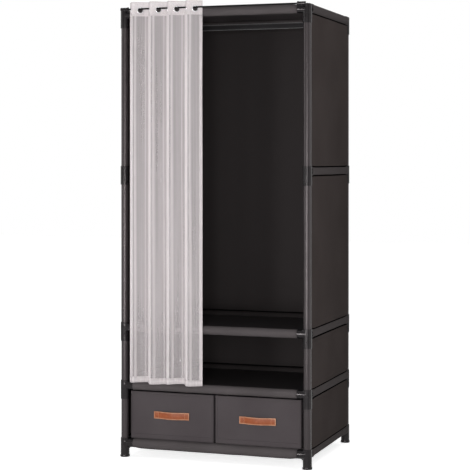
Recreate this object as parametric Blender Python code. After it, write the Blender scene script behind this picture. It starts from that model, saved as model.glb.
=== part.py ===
"""Curtain wardrobe: a steel tube frame in moulded corner connectors, clad in cloth.

The frame has four posts and five levels of rails. Cloth covers and shelves hang from the rails by
sewn tunnels, two fabric drawers stand on the base, and one curtain rides on a rod by its eyelets.
Metres, +Z up, front towards -Y. The origin is on the floor, under the middle of the whole object.
"""

from math import acos, atan2, cos, pi, radians, sin, sqrt, tau

import bmesh
import bpy
from mathutils import Matrix

# Frame, measured between the axes of its tubes
FRAME_WIDTH = 0.720
FRAME_DEPTH = 0.540
FOOT_RISE = 0.053
DRAWER_BAY = 0.218
SHELF_BAY = 0.220
HANGING_BAY = 0.5925

# Steel tubes and the air between pieces that touch
TUBE_RADIUS = 0.0145
TUBE_WALL = 0.0010
FIT_GAP = 0.0003
POST_SEAT = 0.006
CUT_OVERRUN = 0.002

# Moulded connectors, measured from the axes of the tubes that they hold
CONNECTOR_WALL = 0.0020
ARM_LENGTH = 0.036
SLEEVE_RISE = 0.019
SLEEVE_DROP = 0.052
CAP_SHOULDER = 0.0145
CAP_RISE = 0.0205
FOOT_RADIUS = 0.0185
FOOT_PAD = 0.006
FOOT_TAPER = 0.004
FOOT_FLOOR = 0.004
GUSSET_RADIUS = 0.012
GUSSET_THICKNESS = 0.005

# Cloth covers and decks
CLOTH = 0.0015
COVER_OFFSET = 0.0115
DECK_THICKNESS = 0.0030
TUNNEL_END_GAP = 0.0005

# Hanging rod and the brackets that hook over the top side rails
ROD_RADIUS = 0.011
ROD_WALL = 0.0010
ROD_DROP = 0.0342
HOOK_THICKNESS = 0.0025
HOOK_WIDTH = 0.024
NECK_WIDTH = 0.020
NECK_THICKNESS = 0.009
NECK_RISE = 0.004
CUP_WALL = 0.0027
CUP_FLOOR = 0.003
CUP_DEPTH = 0.017
HOOK_START = radians(-40)
HOOK_END = radians(120)

# Curtain rod, and the bosses on the two front caps that hold it
CURTAIN_ROD_RADIUS = 0.0030
CURTAIN_ROD_OFFSET = 0.032
CURTAIN_ROD_RISE = 0.0165
BOSS_RADIUS = 0.007
BOSS_INWARD = 0.028
BOSS_OUTWARD = 0.003
BOSS_FLOOR = 0.006
BOSS_WEB_WIDTH = 0.014
BOSS_WEB_HEIGHT = 0.008
BOSS_WEB_DROP = 0.006
BOSS_WEB_OUTWARD = 0.0015

# Curtain and its eyelets
CURTAIN_THICKNESS = 0.0012
EYELET_PITCH = 0.03675
EYELET_INSET = 0.0396
CURTAIN_MARGIN = 0.0172
CURTAIN_HEADING = 0.0303
CURTAIN_HEM_RISE = 0.01325
FOLD_DEPTH = 0.013
FOLD_DRIFT = 0.004
HEM_WAVE = 0.0025
EYELET_BORE = 0.0092
EYELET_OUTER = 0.0130
EYELET_THICKNESS = 0.0024
EYELET_PLAY = 0.0014
EYELET_LIP = 0.0008

# Drawers, inset from the posts' axes, and their straps
DRAWER_INSET = 0.023
DRAWER_HEIGHT = 0.1795
DRAWER_LENGTH = 0.500
DRAWER_WALL = 0.0040
DRAWER_CORNER = 0.005
DRAWER_SPACING = 0.006
STRAP_LENGTH = 0.142
STRAP_WIDTH = 0.0275
STRAP_THICKNESS = 0.0026
STRAP_TAB = 0.022
STRAP_BOW = 0.0100
STRAP_RISE = 0.094

# Counts, and shares of the sizes that they follow
TUBE_SIDES = 16
EYELET_COUNT = 8
CAP_STEPS = 4
CAP_ARC_SHARE = 0.76
ARM_COVER_STEPS = 6
GUSSET_STEPS = 4
HOOK_STEPS = 14
STRAP_STEPS = 10
CURTAIN_COLUMNS = 40
FOLD_LEAN_SHARE = 0.5
CURTAIN_ROW_SHARES = (0.0, 0.33, 0.67, 1.0)
SMOOTH_ANGLE = radians(40)

# Sizes that follow from the ones above
SOCKET_RADIUS = TUBE_RADIUS + FIT_GAP
CONNECTOR_RADIUS = SOCKET_RADIUS + CONNECTOR_WALL
TUNNEL_RADIUS = SOCKET_RADIUS + CLOTH
ARM_COVER_BORE = CONNECTOR_RADIUS + FIT_GAP
ARM_COVER_RADIUS = ARM_COVER_BORE + CLOTH
COVER_SEAM = sqrt(ARM_COVER_BORE**2 - (COVER_OFFSET - CLOTH / 2) ** 2)
FRONT_REACH = CURTAIN_ROD_OFFSET + FOLD_DEPTH + CURTAIN_THICKNESS / 2
REAR_REACH = max(FOOT_RADIUS, ARM_COVER_RADIUS)
FRONT_Y = (FRONT_REACH - REAR_REACH - FRAME_DEPTH) / 2
REAR_Y = FRONT_Y + FRAME_DEPTH
MIDDLE_Y = FRONT_Y + FRAME_DEPTH / 2
SIDE_X = FRAME_WIDTH / 2
DRAWER_WIDTH = SIDE_X - DRAWER_INSET - DRAWER_SPACING / 2
LEVELS = {
    "bottom": FOOT_RISE,
    "lower": FOOT_RISE + DRAWER_BAY,
    "upper": FOOT_RISE + DRAWER_BAY + SHELF_BAY,
    "middle": FOOT_RISE + DRAWER_BAY + SHELF_BAY + HANGING_BAY,
    "top": FOOT_RISE + DRAWER_BAY + SHELF_BAY + HANGING_BAY + HANGING_BAY,
}
CORNERS = {
    "front_left": (-SIDE_X, FRONT_Y, 0),
    "front_right": (SIDE_X, FRONT_Y, 90),
    "rear_right": (SIDE_X, REAR_Y, 180),
    "rear_left": (-SIDE_X, REAR_Y, 270),
}
CURTAIN_ROD_Y = FRONT_Y - CURTAIN_ROD_OFFSET
CURTAIN_ROD_Z = LEVELS["top"] + CURTAIN_ROD_RISE
EYELET_Z = CURTAIN_ROD_Z - (EYELET_BORE - CURTAIN_ROD_RADIUS - EYELET_PLAY)
CURTAIN_LENGTH = EYELET_Z + CURTAIN_HEADING - LEVELS["lower"] - CURTAIN_HEM_RISE
FIRST_EYELET_X = EYELET_INSET - SIDE_X
LEAD_EYELET_X = FIRST_EYELET_X + EYELET_PITCH * (EYELET_COUNT - 1)

TO_AXIS = {
    "X": Matrix.Rotation(pi / 2, 4, "Y"),
    "Y": Matrix.Rotation(-pi / 2, 4, "X"),
    "Z": Matrix.Identity(4),
}


def material(name, colour, roughness, metallic=0.0):
    """A plain finish for one kind of piece."""
    finish = bpy.data.materials.new(name)
    finish.use_nodes = True
    shader = finish.node_tree.nodes["Principled BSDF"]
    shader.inputs["Base Color"].default_value = (*colour, 1.0)
    shader.inputs["Roughness"].default_value = roughness
    shader.inputs["Metallic"].default_value = metallic
    finish.diffuse_color = (*colour, 1.0)
    return finish


def mesh_of(shape):
    """Close a bmesh into a mesh whose faces point out."""
    bmesh.ops.recalc_face_normals(shape, faces=shape.faces)
    mesh = bpy.data.meshes.new("shape")
    shape.to_mesh(mesh)
    shape.free()
    return mesh


def turned(rings, hollow=False):
    """A round shape about Z through (radius, height) rings, or a ring-shaped one if hollow."""
    shape = bmesh.new()
    profile = [shape.verts.new((radius, 0, height)) for radius, height in rings]
    following = profile[1:] + profile[:1] if hollow else profile[1:]
    edges = [shape.edges.new(pair) for pair in zip(profile, following)]
    bmesh.ops.spin(
        shape, geom=profile + edges, axis=(0, 0, 1), angle=tau, steps=TUBE_SIDES, use_merge=True
    )
    if not hollow:
        rims = [edge for edge in shape.edges if edge.is_boundary]
        bmesh.ops.edgeloop_fill(shape, edges=rims)
    return mesh_of(shape)


def cylinder(axis, radius, start, end):
    """A solid round bar along one axis."""
    mesh = turned([(radius, start), (radius, end)])
    mesh.transform(TO_AXIS[axis])
    return mesh


def tube(axis, radius, wall, start, end):
    """A tube along one axis, open at both ends."""
    bore = radius - wall
    mesh = turned([(bore, start), (radius, start), (radius, end), (bore, end)], hollow=True)
    mesh.transform(TO_AXIS[axis])
    return mesh


def plate(outline, start, end):
    """A flat outline of (x, z) points, as thick as from start to end along Y."""
    shape = bmesh.new()
    corners = [shape.verts.new((x, start, z)) for x, z in outline]
    face = shape.faces.new(corners)
    grown = bmesh.ops.extrude_face_region(shape, geom=[face])["geom"]
    moved = [part for part in grown if isinstance(part, bmesh.types.BMVert)]
    bmesh.ops.translate(shape, verts=moved, vec=(0, end - start, 0))
    return mesh_of(shape)


def block(low, high):
    """A rectangular block between two corners."""
    outline = [(low[0], low[2]), (high[0], low[2]), (high[0], high[2]), (low[0], high[2])]
    return plate(outline, low[1], high[1])


def placed(mesh, location=(0, 0, 0), turn=0.0):
    """The mesh turned about Z and moved."""
    mesh.transform(Matrix.Translation(location) @ Matrix.Rotation(turn, 4, "Z"))
    return mesh


def solid_from(joined, bores=()):
    """One mesh: the joined shapes as one body, less the bores."""
    steps = [("UNION", mesh) for mesh in joined[1:]] + [("DIFFERENCE", mesh) for mesh in bores]
    base = bpy.data.objects.new("base", joined[0])
    tools = []
    for operation, mesh in steps:
        tool = bpy.data.objects.new("tool", mesh)
        modifier = base.modifiers.new(operation, "BOOLEAN")
        modifier.operation = operation
        modifier.solver = "EXACT"
        modifier.object = tool
        tools.append(tool)
    for shown in [base, *tools]:
        bpy.context.collection.objects.link(shown)
    depsgraph = bpy.context.evaluated_depsgraph_get()
    result = bpy.data.meshes.new_from_object(base.evaluated_get(depsgraph))
    for used in [base, *tools]:
        bpy.data.objects.remove(used)
    return result


def add_piece(name, mesh, finish, location=(0, 0, 0), turn=0.0):
    """A named piece of the wardrobe. Copies of a piece share its mesh."""
    if not mesh.materials:
        mesh.materials.append(finish)
        mesh.shade_smooth()
        mesh.set_sharp_from_angle(angle=SMOOTH_ANGLE)
    piece = bpy.data.objects.new(name, mesh)
    piece.location = location
    piece.rotation_euler = (0, 0, turn)
    bpy.context.collection.objects.link(piece)
    return piece


def cap_rings():
    """The rounded cap over a post's top end, from its shoulder up."""
    arc = pi / 2 * CAP_ARC_SHARE
    height = (CAP_RISE - CAP_SHOULDER) / sin(arc)
    turns = [arc * step / CAP_STEPS for step in range(CAP_STEPS + 1)]
    return [(CONNECTOR_RADIUS * cos(turn), CAP_SHOULDER + height * sin(turn)) for turn in turns]


def gusset():
    """The curved web between a foot and its arm, in the plane of the arm."""
    inner = SOCKET_RADIUS
    under = -SOCKET_RADIUS
    reach = CONNECTOR_RADIUS + GUSSET_RADIUS
    outline = [(inner, under), (reach, under)]
    for step in range(GUSSET_STEPS + 1):
        turn = pi / 2 * step / GUSSET_STEPS
        outline.append((reach - GUSSET_RADIUS * sin(turn), -reach + GUSSET_RADIUS * cos(turn)))
    outline.append((inner, -reach))
    return plate(outline, -GUSSET_THICKNESS / 2, GUSSET_THICKNESS / 2)


def connector(rings, bore, arm_turns, extras=(), extra_bores=()):
    """A moulded connector about its post's axis, with its level's rails at height zero."""
    joined = [turned(rings)]
    bores = [cylinder("Z", SOCKET_RADIUS, *bore)]
    for turn in arm_turns:
        joined.append(placed(cylinder("X", CONNECTOR_RADIUS, 0, ARM_LENGTH), turn=turn))
        socket = cylinder("X", SOCKET_RADIUS, CONNECTOR_RADIUS, ARM_LENGTH + CUT_OVERRUN)
        bores.append(placed(socket, turn=turn))
    return solid_from(joined + list(extras), bores + list(extra_bores))


def foot_connector():
    """The lowest connector, whose sleeve goes down to the floor as a foot."""
    floor = -FOOT_RISE
    rings = [
        (FOOT_RADIUS, floor),
        (FOOT_RADIUS, floor + FOOT_PAD),
        (CONNECTOR_RADIUS, floor + FOOT_PAD + FOOT_TAPER),
        (CONNECTOR_RADIUS, SLEEVE_RISE),
    ]
    turns = (0, pi / 2)
    webs = [placed(gusset(), turn=turn) for turn in turns]
    return connector(rings, (floor + FOOT_FLOOR, SLEEVE_RISE + CUT_OVERRUN), turns, webs)


def sleeve_connector(arm_turns):
    """A connector that the post passes through, at a shelf or at the middle of the side."""
    rings = [(CONNECTOR_RADIUS, -SLEEVE_DROP), (CONNECTOR_RADIUS, SLEEVE_RISE)]
    bore = (-SLEEVE_DROP - CUT_OVERRUN, SLEEVE_RISE + CUT_OVERRUN)
    return connector(rings, bore, arm_turns)


def cap_connector(arm_turns, inward=0):
    """A top connector. Inward is the side that its curtain rod boss opens to, or 0 for no boss."""
    rings = [(CONNECTOR_RADIUS, -SLEEVE_DROP)] + cap_rings()
    bore = (-SLEEVE_DROP - CUT_OVERRUN, POST_SEAT + FIT_GAP)
    if not inward:
        return connector(rings, bore, arm_turns)
    boss = cylinder("X", BOSS_RADIUS, -BOSS_OUTWARD, BOSS_INWARD)
    socket_radius = CURTAIN_ROD_RADIUS + FIT_GAP
    socket = cylinder("X", socket_radius, BOSS_FLOOR - BOSS_OUTWARD, BOSS_INWARD + CUT_OVERRUN)
    turn = 0 if inward > 0 else pi
    for mesh in (boss, socket):
        placed(mesh, (0, -CURTAIN_ROD_OFFSET, CURTAIN_ROD_RISE), turn)
    foot = CURTAIN_ROD_RISE - BOSS_WEB_DROP
    low_x, high_x = sorted((-BOSS_WEB_OUTWARD * inward, (BOSS_WEB_WIDTH - BOSS_WEB_OUTWARD) * inward))
    web = block((low_x, -CURTAIN_ROD_OFFSET, foot), (high_x, 0, foot + BOSS_WEB_HEIGHT))
    return connector(rings, bore, arm_turns, [boss, web], [socket])


def add_connectors(finish):
    """Twenty connectors: one for each corner at each of the five levels."""
    quarter = pi / 2
    pair = (0, quarter)
    shared = {
        "bottom": foot_connector(),
        "lower": sleeve_connector(pair),
        "middle": sleeve_connector((quarter,)),
        "top": cap_connector(pair),
    }
    shared["upper"] = shared["lower"]
    with_boss = {
        "front_left": cap_connector(pair, inward=1),
        "front_right": cap_connector((quarter, pi), inward=-1),
    }
    for level, height in LEVELS.items():
        for corner, (x, y, degrees) in CORNERS.items():
            mesh = shared[level]
            turn = radians(degrees)
            if level == "middle":
                turn = pi if corner.startswith("rear") else 0
            if level == "top" and corner in with_boss:
                mesh = with_boss[corner]
                turn = 0
            add_piece(f"{level}_connector_{corner}", mesh, finish, (x, y, height), turn)


def add_posts(finish):
    """Four upright tubes, from the floor of the feet to the inside of the caps."""
    low = FOOT_FLOOR + FIT_GAP
    mesh = tube("Z", TUBE_RADIUS, TUBE_WALL, low, LEVELS["top"] + POST_SEAT)
    for corner, (x, y, _) in CORNERS.items():
        add_piece(f"post_{corner}", mesh, finish, (x, y, 0))


def add_rails(finish):
    """Rails between the connectors' sockets. The middle level has side rails only."""
    inset = CONNECTOR_RADIUS + FIT_GAP
    half_width = SIDE_X - inset
    half_depth = FRAME_DEPTH / 2 - inset
    across = tube("X", TUBE_RADIUS, TUBE_WALL, -half_width, half_width)
    along = tube("Y", TUBE_RADIUS, TUBE_WALL, -half_depth, half_depth)
    for level, height in LEVELS.items():
        add_piece(f"{level}_rail_left", along, finish, (-SIDE_X, MIDDLE_Y, height))
        add_piece(f"{level}_rail_right", along, finish, (SIDE_X, MIDDLE_Y, height))
        if level != "middle":
            add_piece(f"{level}_rail_front", across, finish, (0, FRONT_Y, height))
            add_piece(f"{level}_rail_rear", across, finish, (0, REAR_Y, height))


def arm_cover(start, end):
    """The bulge of a cover over a connector's arm, before its bore. It swells to local -Y."""
    half_turn = acos(COVER_OFFSET / ARM_COVER_RADIUS)
    outline = []
    for step in range(ARM_COVER_STEPS + 1):
        turn = half_turn * (2 * step / ARM_COVER_STEPS - 1)
        outline.append((ARM_COVER_RADIUS * cos(turn), ARM_COVER_RADIUS * sin(turn)))
    return placed(plate(outline, start, end), turn=-pi / 2)


def cover(half_span, low, high, levels):
    """A cloth cover on the outer side of its rails, local -Y, with a tunnel round each of them.

    Beyond a tunnel's ends the cloth bulges over the arms of the connectors.
    """
    edge = half_span - COVER_SEAM
    reach = half_span - ARM_LENGTH - TUNNEL_END_GAP
    outside = -COVER_OFFSET - CLOTH / 2
    joined = [block((-edge, outside, low), (edge, outside + CLOTH, high))]
    bores = []
    for level in levels:
        joined.append(placed(cylinder("X", TUNNEL_RADIUS, -reach, reach), (0, 0, level)))
        rail = cylinder("X", SOCKET_RADIUS, -half_span, half_span)
        bores.append(placed(rail, (0, 0, level)))
        for start, end in ((-edge, CLOTH - reach), (reach - CLOTH, edge)):
            joined.append(placed(arm_cover(start, end), (0, 0, level)))
        for start, end in ((-half_span, -reach), (reach, half_span)):
            arm = cylinder("X", ARM_COVER_BORE, start, end)
            bores.append(placed(arm, (0, 0, level)))
    return solid_from(joined, bores)


def deck(sheet_low, sheet_high, tunnel_depths):
    """A cloth deck about its level's rails, with a tunnel at each of the given depths."""
    half_width = SIDE_X - CONNECTOR_RADIUS - FIT_GAP
    half_depth = FRAME_DEPTH / 2 - CONNECTOR_RADIUS - FIT_GAP
    reach = SIDE_X - ARM_LENGTH - TUNNEL_END_GAP
    joined = [block((-half_width, -half_depth, sheet_low), (half_width, half_depth, sheet_high))]
    bores = []
    for depth in tunnel_depths:
        low, high = sorted((depth, 0))
        joined.append(block((-reach, low, sheet_low), (reach, high, sheet_high)))
        joined.append(placed(cylinder("X", TUNNEL_RADIUS, -reach, reach), (0, depth, 0)))
        length = reach + CUT_OVERRUN
        bores.append(placed(cylinder("X", SOCKET_RADIUS, -length, length), (0, depth, 0)))
    return solid_from(joined, bores)


def add_cloth(cover_finish, deck_finish):
    """Two side covers, the back and top covers, two shelves and the base."""
    levels = list(LEVELS.values())
    side = cover(FRAME_DEPTH / 2, LEVELS["bottom"], LEVELS["top"], levels)
    add_piece("side_cover_left", side, cover_finish, (-SIDE_X, MIDDLE_Y, 0), -pi / 2)
    add_piece("side_cover_right", side, cover_finish, (SIDE_X, MIDDLE_Y, 0), pi / 2)

    shelves = [LEVELS["lower"], LEVELS["upper"]]
    back = cover(SIDE_X, LEVELS["bottom"] + COVER_SEAM, LEVELS["top"] - COVER_SEAM, shelves)
    add_piece("back_cover", back, cover_finish, (0, REAR_Y, 0), pi)

    front = -FRAME_DEPTH / 2
    rear = FRAME_DEPTH / 2
    shelf = deck(-DECK_THICKNESS, 0, [front])
    add_piece("lower_shelf", shelf, deck_finish, (0, MIDDLE_Y, LEVELS["lower"]))
    add_piece("upper_shelf", shelf, deck_finish, (0, MIDDLE_Y, LEVELS["upper"]))
    base = deck(TUNNEL_RADIUS - DECK_THICKNESS, TUNNEL_RADIUS, [front, rear])
    add_piece("base_deck", base, deck_finish, (0, MIDDLE_Y, LEVELS["bottom"]))
    top = deck(TUNNEL_RADIUS - CLOTH, TUNNEL_RADIUS, [front, rear])
    add_piece("top_cover", top, cover_finish, (0, MIDDLE_Y, LEVELS["top"]))


def rod_bracket():
    """A hook over a top side rail, with a cup for the rod. Local +X points into the wardrobe."""
    inner = TUNNEL_RADIUS + FIT_GAP
    outer = inner + HOOK_THICKNESS
    sweep = HOOK_END - HOOK_START
    turns = [HOOK_START + sweep * step / HOOK_STEPS for step in range(HOOK_STEPS + 1)]
    outline = [(outer * cos(turn), outer * sin(turn)) for turn in turns]
    outline += [(inner * cos(turn), inner * sin(turn)) for turn in reversed(turns)]
    hook = plate(outline, -HOOK_WIDTH / 2, HOOK_WIDTH / 2)
    start = inner + HOOK_THICKNESS / 2
    neck_low = (start, -NECK_WIDTH / 2, -ROD_DROP)
    neck = block(neck_low, (start + NECK_THICKNESS, NECK_WIDTH / 2, NECK_RISE))
    bore_radius = ROD_RADIUS + FIT_GAP
    mouth = start + CUP_FLOOR + CUP_DEPTH
    cup = placed(cylinder("X", bore_radius + CUP_WALL, start, mouth), (0, 0, -ROD_DROP))
    bore = cylinder("X", bore_radius, start + CUP_FLOOR, mouth + CUT_OVERRUN)
    return solid_from([hook, neck, cup], [placed(bore, (0, 0, -ROD_DROP))])


def add_rods(tube_finish, plastic):
    """The hanging rod in its two brackets, and the thin curtain rod between the front caps."""
    bracket = rod_bracket()
    height = LEVELS["top"]
    add_piece("rod_bracket_left", bracket, plastic, (-SIDE_X, MIDDLE_Y, height), 0.0)
    add_piece("rod_bracket_right", bracket, plastic, (SIDE_X, MIDDLE_Y, height), pi)
    cup_floor = TUNNEL_RADIUS + FIT_GAP + HOOK_THICKNESS / 2 + CUP_FLOOR
    half = SIDE_X - cup_floor - FIT_GAP
    rod = tube("X", ROD_RADIUS, ROD_WALL, -half, half)
    add_piece("hanging_rod", rod, tube_finish, (0, MIDDLE_Y, height - ROD_DROP))

    half = SIDE_X + BOSS_OUTWARD - BOSS_FLOOR - FIT_GAP
    curtain_rod = cylinder("X", CURTAIN_ROD_RADIUS, -half, half)
    add_piece("curtain_rod", curtain_rod, tube_finish, (0, CURTAIN_ROD_Y, CURTAIN_ROD_Z))


def fold(x, drop_share):
    """Where the cloth of a leaning fold stands, x past the first eyelet: along and behind the rod."""
    drift = FOLD_DRIFT * drop_share * sin(pi * x / (EYELET_PITCH * EYELET_COUNT))
    behind = -FOLD_DEPTH * sin(pi * (x + drift) / EYELET_PITCH)
    return x + FOLD_LEAN_SHARE * behind, behind


def at_eyelet(mesh, number):
    """A shape made about Z, moved to an eyelet and turned to lie in its cloth."""
    slope = -FOLD_DEPTH * pi / EYELET_PITCH * cos(pi * number)
    mesh.transform(TO_AXIS["Y"])
    turn = atan2(slope, 1 + FOLD_LEAN_SHARE * slope)
    return placed(mesh, (EYELET_PITCH * number, 0, 0), turn)


def curtain_sheet():
    """The pleated sheet about its first eyelet, with its folds and its hem that swings a little."""
    left = -CURTAIN_MARGIN
    right = EYELET_PITCH * (EYELET_COUNT - 1) + CURTAIN_MARGIN
    shape = bmesh.new()
    rows = []
    for share in CURTAIN_ROW_SHARES:
        row = []
        for column in range(CURTAIN_COLUMNS + 1):
            x = left + (right - left) * column / CURTAIN_COLUMNS
            hem = HEM_WAVE * share * sin(pi * x / EYELET_PITCH / 2)
            height = CURTAIN_HEADING - CURTAIN_LENGTH * share + hem
            row.append(shape.verts.new((*fold(x, share), height)))
        rows.append(row)
    for upper, lower in zip(rows, rows[1:]):
        for column in range(CURTAIN_COLUMNS):
            corners = (upper[column], lower[column], lower[column + 1], upper[column + 1])
            shape.faces.new(corners)
    for vertex in shape.verts:
        vertex.normal_update()
    halves = {vertex: vertex.normal * (CURTAIN_THICKNESS / 2) for vertex in shape.verts}
    grown = bmesh.ops.extrude_face_region(shape, geom=shape.faces[:])["geom"]
    backs = [part for part in grown if isinstance(part, bmesh.types.BMVert)]
    for vertex, half in halves.items():
        vertex.co += half
    for vertex in backs:
        vertex.co -= vertex.normal.normalized() * (CURTAIN_THICKNESS / 2)
    return mesh_of(shape)


def add_curtain(cloth, metal):
    """The curtain with its eyelets. The leading one is a ring of its own in a hole of its own."""
    joined = [curtain_sheet()]
    bores = []
    half = EYELET_THICKNESS / 2
    through = EYELET_OUTER / 2
    for number in range(EYELET_COUNT - 1):
        joined.append(at_eyelet(cylinder("Z", EYELET_OUTER, -half, half), number))
        bores.append(at_eyelet(cylinder("Z", EYELET_BORE, -through, through), number))
    lead = EYELET_COUNT - 1
    hole = EYELET_OUTER - EYELET_LIP + FIT_GAP
    bores.append(at_eyelet(cylinder("Z", hole, -through, through), lead))
    place = (FIRST_EYELET_X, CURTAIN_ROD_Y, EYELET_Z)
    add_piece("curtain", solid_from(joined, bores), cloth, place)

    rim = EYELET_OUTER - EYELET_LIP
    rings = [(EYELET_BORE, -half), (rim, -half), (rim, half), (EYELET_BORE, half)]
    ring = at_eyelet(turned(rings, hollow=True), lead)
    ring.transform(Matrix.Translation((FIRST_EYELET_X - LEAD_EYELET_X, 0, 0)))
    add_piece("lead_eyelet", ring, metal, (LEAD_EYELET_X, CURTAIN_ROD_Y, EYELET_Z))


def drawer_box():
    """An open box of stiffened cloth about the middle of its front's lower edge."""
    shape = bmesh.new()
    bmesh.ops.create_cube(shape, size=1.0)
    bmesh.ops.scale(shape, vec=(DRAWER_WIDTH, DRAWER_LENGTH, DRAWER_HEIGHT), verts=shape.verts)
    middle = (0, DRAWER_LENGTH / 2, DRAWER_HEIGHT / 2)
    bmesh.ops.translate(shape, verts=shape.verts, vec=middle)
    uprights = [edge for edge in shape.edges if edge.verts[0].co.z != edge.verts[1].co.z]
    bmesh.ops.bevel(
        shape, geom=uprights, offset=DRAWER_CORNER, segments=2, profile=0.5, affect="EDGES"
    )
    shape.normal_update()
    top = max(shape.faces, key=lambda face: face.calc_center_median().z)
    bmesh.ops.inset_region(shape, faces=[top], thickness=DRAWER_WALL, use_even_offset=True)
    grown = bmesh.ops.extrude_face_region(shape, geom=[top])["geom"]
    floor = [part for part in grown if isinstance(part, bmesh.types.BMVert)]
    bmesh.ops.delete(shape, geom=[top], context="FACES_ONLY")
    bmesh.ops.translate(shape, verts=floor, vec=(0, 0, DRAWER_WALL - DRAWER_HEIGHT))
    return mesh_of(shape)


def strap():
    """A leather pull: two tabs flat on the drawer and a bowed grip."""
    half = STRAP_LENGTH / 2
    grip = half - STRAP_TAB
    line = [(-half, 0.0)]
    for step in range(STRAP_STEPS + 1):
        share = step / STRAP_STEPS
        line.append((grip * (2 * share - 1), STRAP_BOW * sin(pi * share)))
    line.append((half, 0.0))
    back = [(x, -FIT_GAP - bow) for x, bow in line]
    front = [(x, y - STRAP_THICKNESS) for x, y in reversed(back)]
    mesh = plate(back + front, -STRAP_WIDTH / 2, STRAP_WIDTH / 2)
    mesh.transform(TO_AXIS["Y"])
    return mesh


def add_drawers(cloth, leather):
    """Two drawers side by side on the base, each with its strap."""
    box = drawer_box()
    pull = strap()
    floor = LEVELS["bottom"] + CONNECTOR_RADIUS + FIT_GAP
    offset = (DRAWER_WIDTH + DRAWER_SPACING) / 2
    for side, x in (("left", -offset), ("right", offset)):
        add_piece(f"drawer_{side}", box, cloth, (x, FRONT_Y, floor))
        add_piece(f"drawer_handle_{side}", pull, leather, (x, FRONT_Y, floor + STRAP_RISE))


def build_wardrobe():
    """All the pieces, from the frame outwards."""
    plastic = material("black_plastic", (0.018, 0.017, 0.018), 0.22)
    steel = material("black_steel", (0.060, 0.055, 0.056), 0.38, 0.4)
    cover_cloth = material("cover_cloth", (0.052, 0.047, 0.047), 0.92)
    deck_cloth = material("deck_cloth", (0.060, 0.055, 0.058), 0.92)
    voile = material("white_voile", (0.62, 0.60, 0.63), 0.80)
    eyelet_metal = material("dark_eyelet", (0.050, 0.048, 0.050), 0.30, 0.8)
    drawer_cloth = material("drawer_cloth", (0.078, 0.068, 0.072), 0.90)
    leather = material("tan_leather", (0.330, 0.130, 0.050), 0.50)

    add_connectors(plastic)
    add_posts(steel)
    add_rails(steel)
    add_cloth(cover_cloth, deck_cloth)
    add_rods(steel, plastic)
    add_curtain(voile, eyelet_metal)
    add_drawers(drawer_cloth, leather)


for old in list(bpy.data.objects):
    bpy.data.objects.remove(old)
build_wardrobe()
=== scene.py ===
from bisect import bisect_left
from math import atan2, cos, pi, radians, sin, tau

import bmesh
import bpy
from mathutils import Matrix, Vector, noise


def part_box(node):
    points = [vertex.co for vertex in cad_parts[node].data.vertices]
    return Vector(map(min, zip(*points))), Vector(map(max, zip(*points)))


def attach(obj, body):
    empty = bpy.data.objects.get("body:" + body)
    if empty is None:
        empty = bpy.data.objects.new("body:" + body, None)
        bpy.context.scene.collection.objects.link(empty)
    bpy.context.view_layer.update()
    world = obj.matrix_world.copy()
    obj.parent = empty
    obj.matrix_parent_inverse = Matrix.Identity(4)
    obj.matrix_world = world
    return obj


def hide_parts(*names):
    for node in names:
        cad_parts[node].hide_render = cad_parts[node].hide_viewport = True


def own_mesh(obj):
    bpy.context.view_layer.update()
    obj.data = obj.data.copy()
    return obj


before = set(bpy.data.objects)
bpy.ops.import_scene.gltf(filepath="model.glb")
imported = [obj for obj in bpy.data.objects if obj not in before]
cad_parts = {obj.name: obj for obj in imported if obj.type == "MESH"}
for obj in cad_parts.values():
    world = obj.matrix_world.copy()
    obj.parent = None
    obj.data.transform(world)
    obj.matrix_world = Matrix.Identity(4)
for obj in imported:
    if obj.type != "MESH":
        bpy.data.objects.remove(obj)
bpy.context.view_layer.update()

# Camera
# It stands in front of the wardrobe and to its right, at chest height, and looks level.
# The frame is shifted down, so that the posts stay upright in the picture.
IMAGE_PIXELS = 470
HORIZON_PIXEL = 160.2
FOCAL_PIXELS = 1457.6
SENSOR = 36.0
CAMERA_PLACE = (1.841, -5.3545, 1.124)
CAMERA_TURN = radians(19.04)

view = bpy.data.cameras.new("camera")
view.sensor_width = SENSOR
view.lens = SENSOR * FOCAL_PIXELS / IMAGE_PIXELS
view.shift_y = (HORIZON_PIXEL - IMAGE_PIXELS / 2) / IMAGE_PIXELS
camera = bpy.data.objects.new("camera", view)
camera.location = CAMERA_PLACE
camera.rotation_euler = (pi / 2, 0, CAMERA_TURN)
bpy.context.scene.collection.objects.link(camera)
bpy.context.scene.camera = camera
bpy.context.scene.view_settings.view_transform = "Standard"

# Studio
# A pale floor that keeps the shadow and a white surround. One broad soft light stands in front,
# with two narrow strips for the gleams on posts and arms, and four more round the sides.
FLOOR_HALF = 14.0
FLOOR_DROP = 0.0004
FLOOR_COLOUR = (0.86, 0.86, 0.86, 1.0)
FLOOR_ROUGHNESS = 0.9
FLOOR_GLOW = 0.76
SURROUND_LIGHT = 0.26
WHITE = (1.0, 1.0, 1.0, 1.0)
BREAST = (0.0, 0.0, 0.9)
# Each light has a name, a place, an aim, a width, a height and its watts.
SOFTBOXES = (
    ("front_light", (0.3, -4.4, 1.9), BREAST, 2.4, 2.6, 8),
    ("post_light", (0.95, -3.9, 0.85), (0.0, 0.0, 0.85), 0.24, 1.5, 54),
    ("arm_light", (-0.77, -3.9, 0.5), (0.0, 0.0, 0.8), 0.4, 0.9, 50),
    ("left_light", (-3.6, -1.2, 1.6), BREAST, 0.5, 2.6, 20),
    ("right_light", (0.85, -0.28, 0.95), (0.37, -0.28, 0.95), 0.3, 1.7, 1.7),
    ("top_light", (1.0, 0.2, 2.35), (0.37, 0.05, 1.4), 0.5, 0.5, 3.4),
    ("rear_light", (-1.6, 3.8, 2.6), BREAST, 1.8, 1.4, 44),
)


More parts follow.
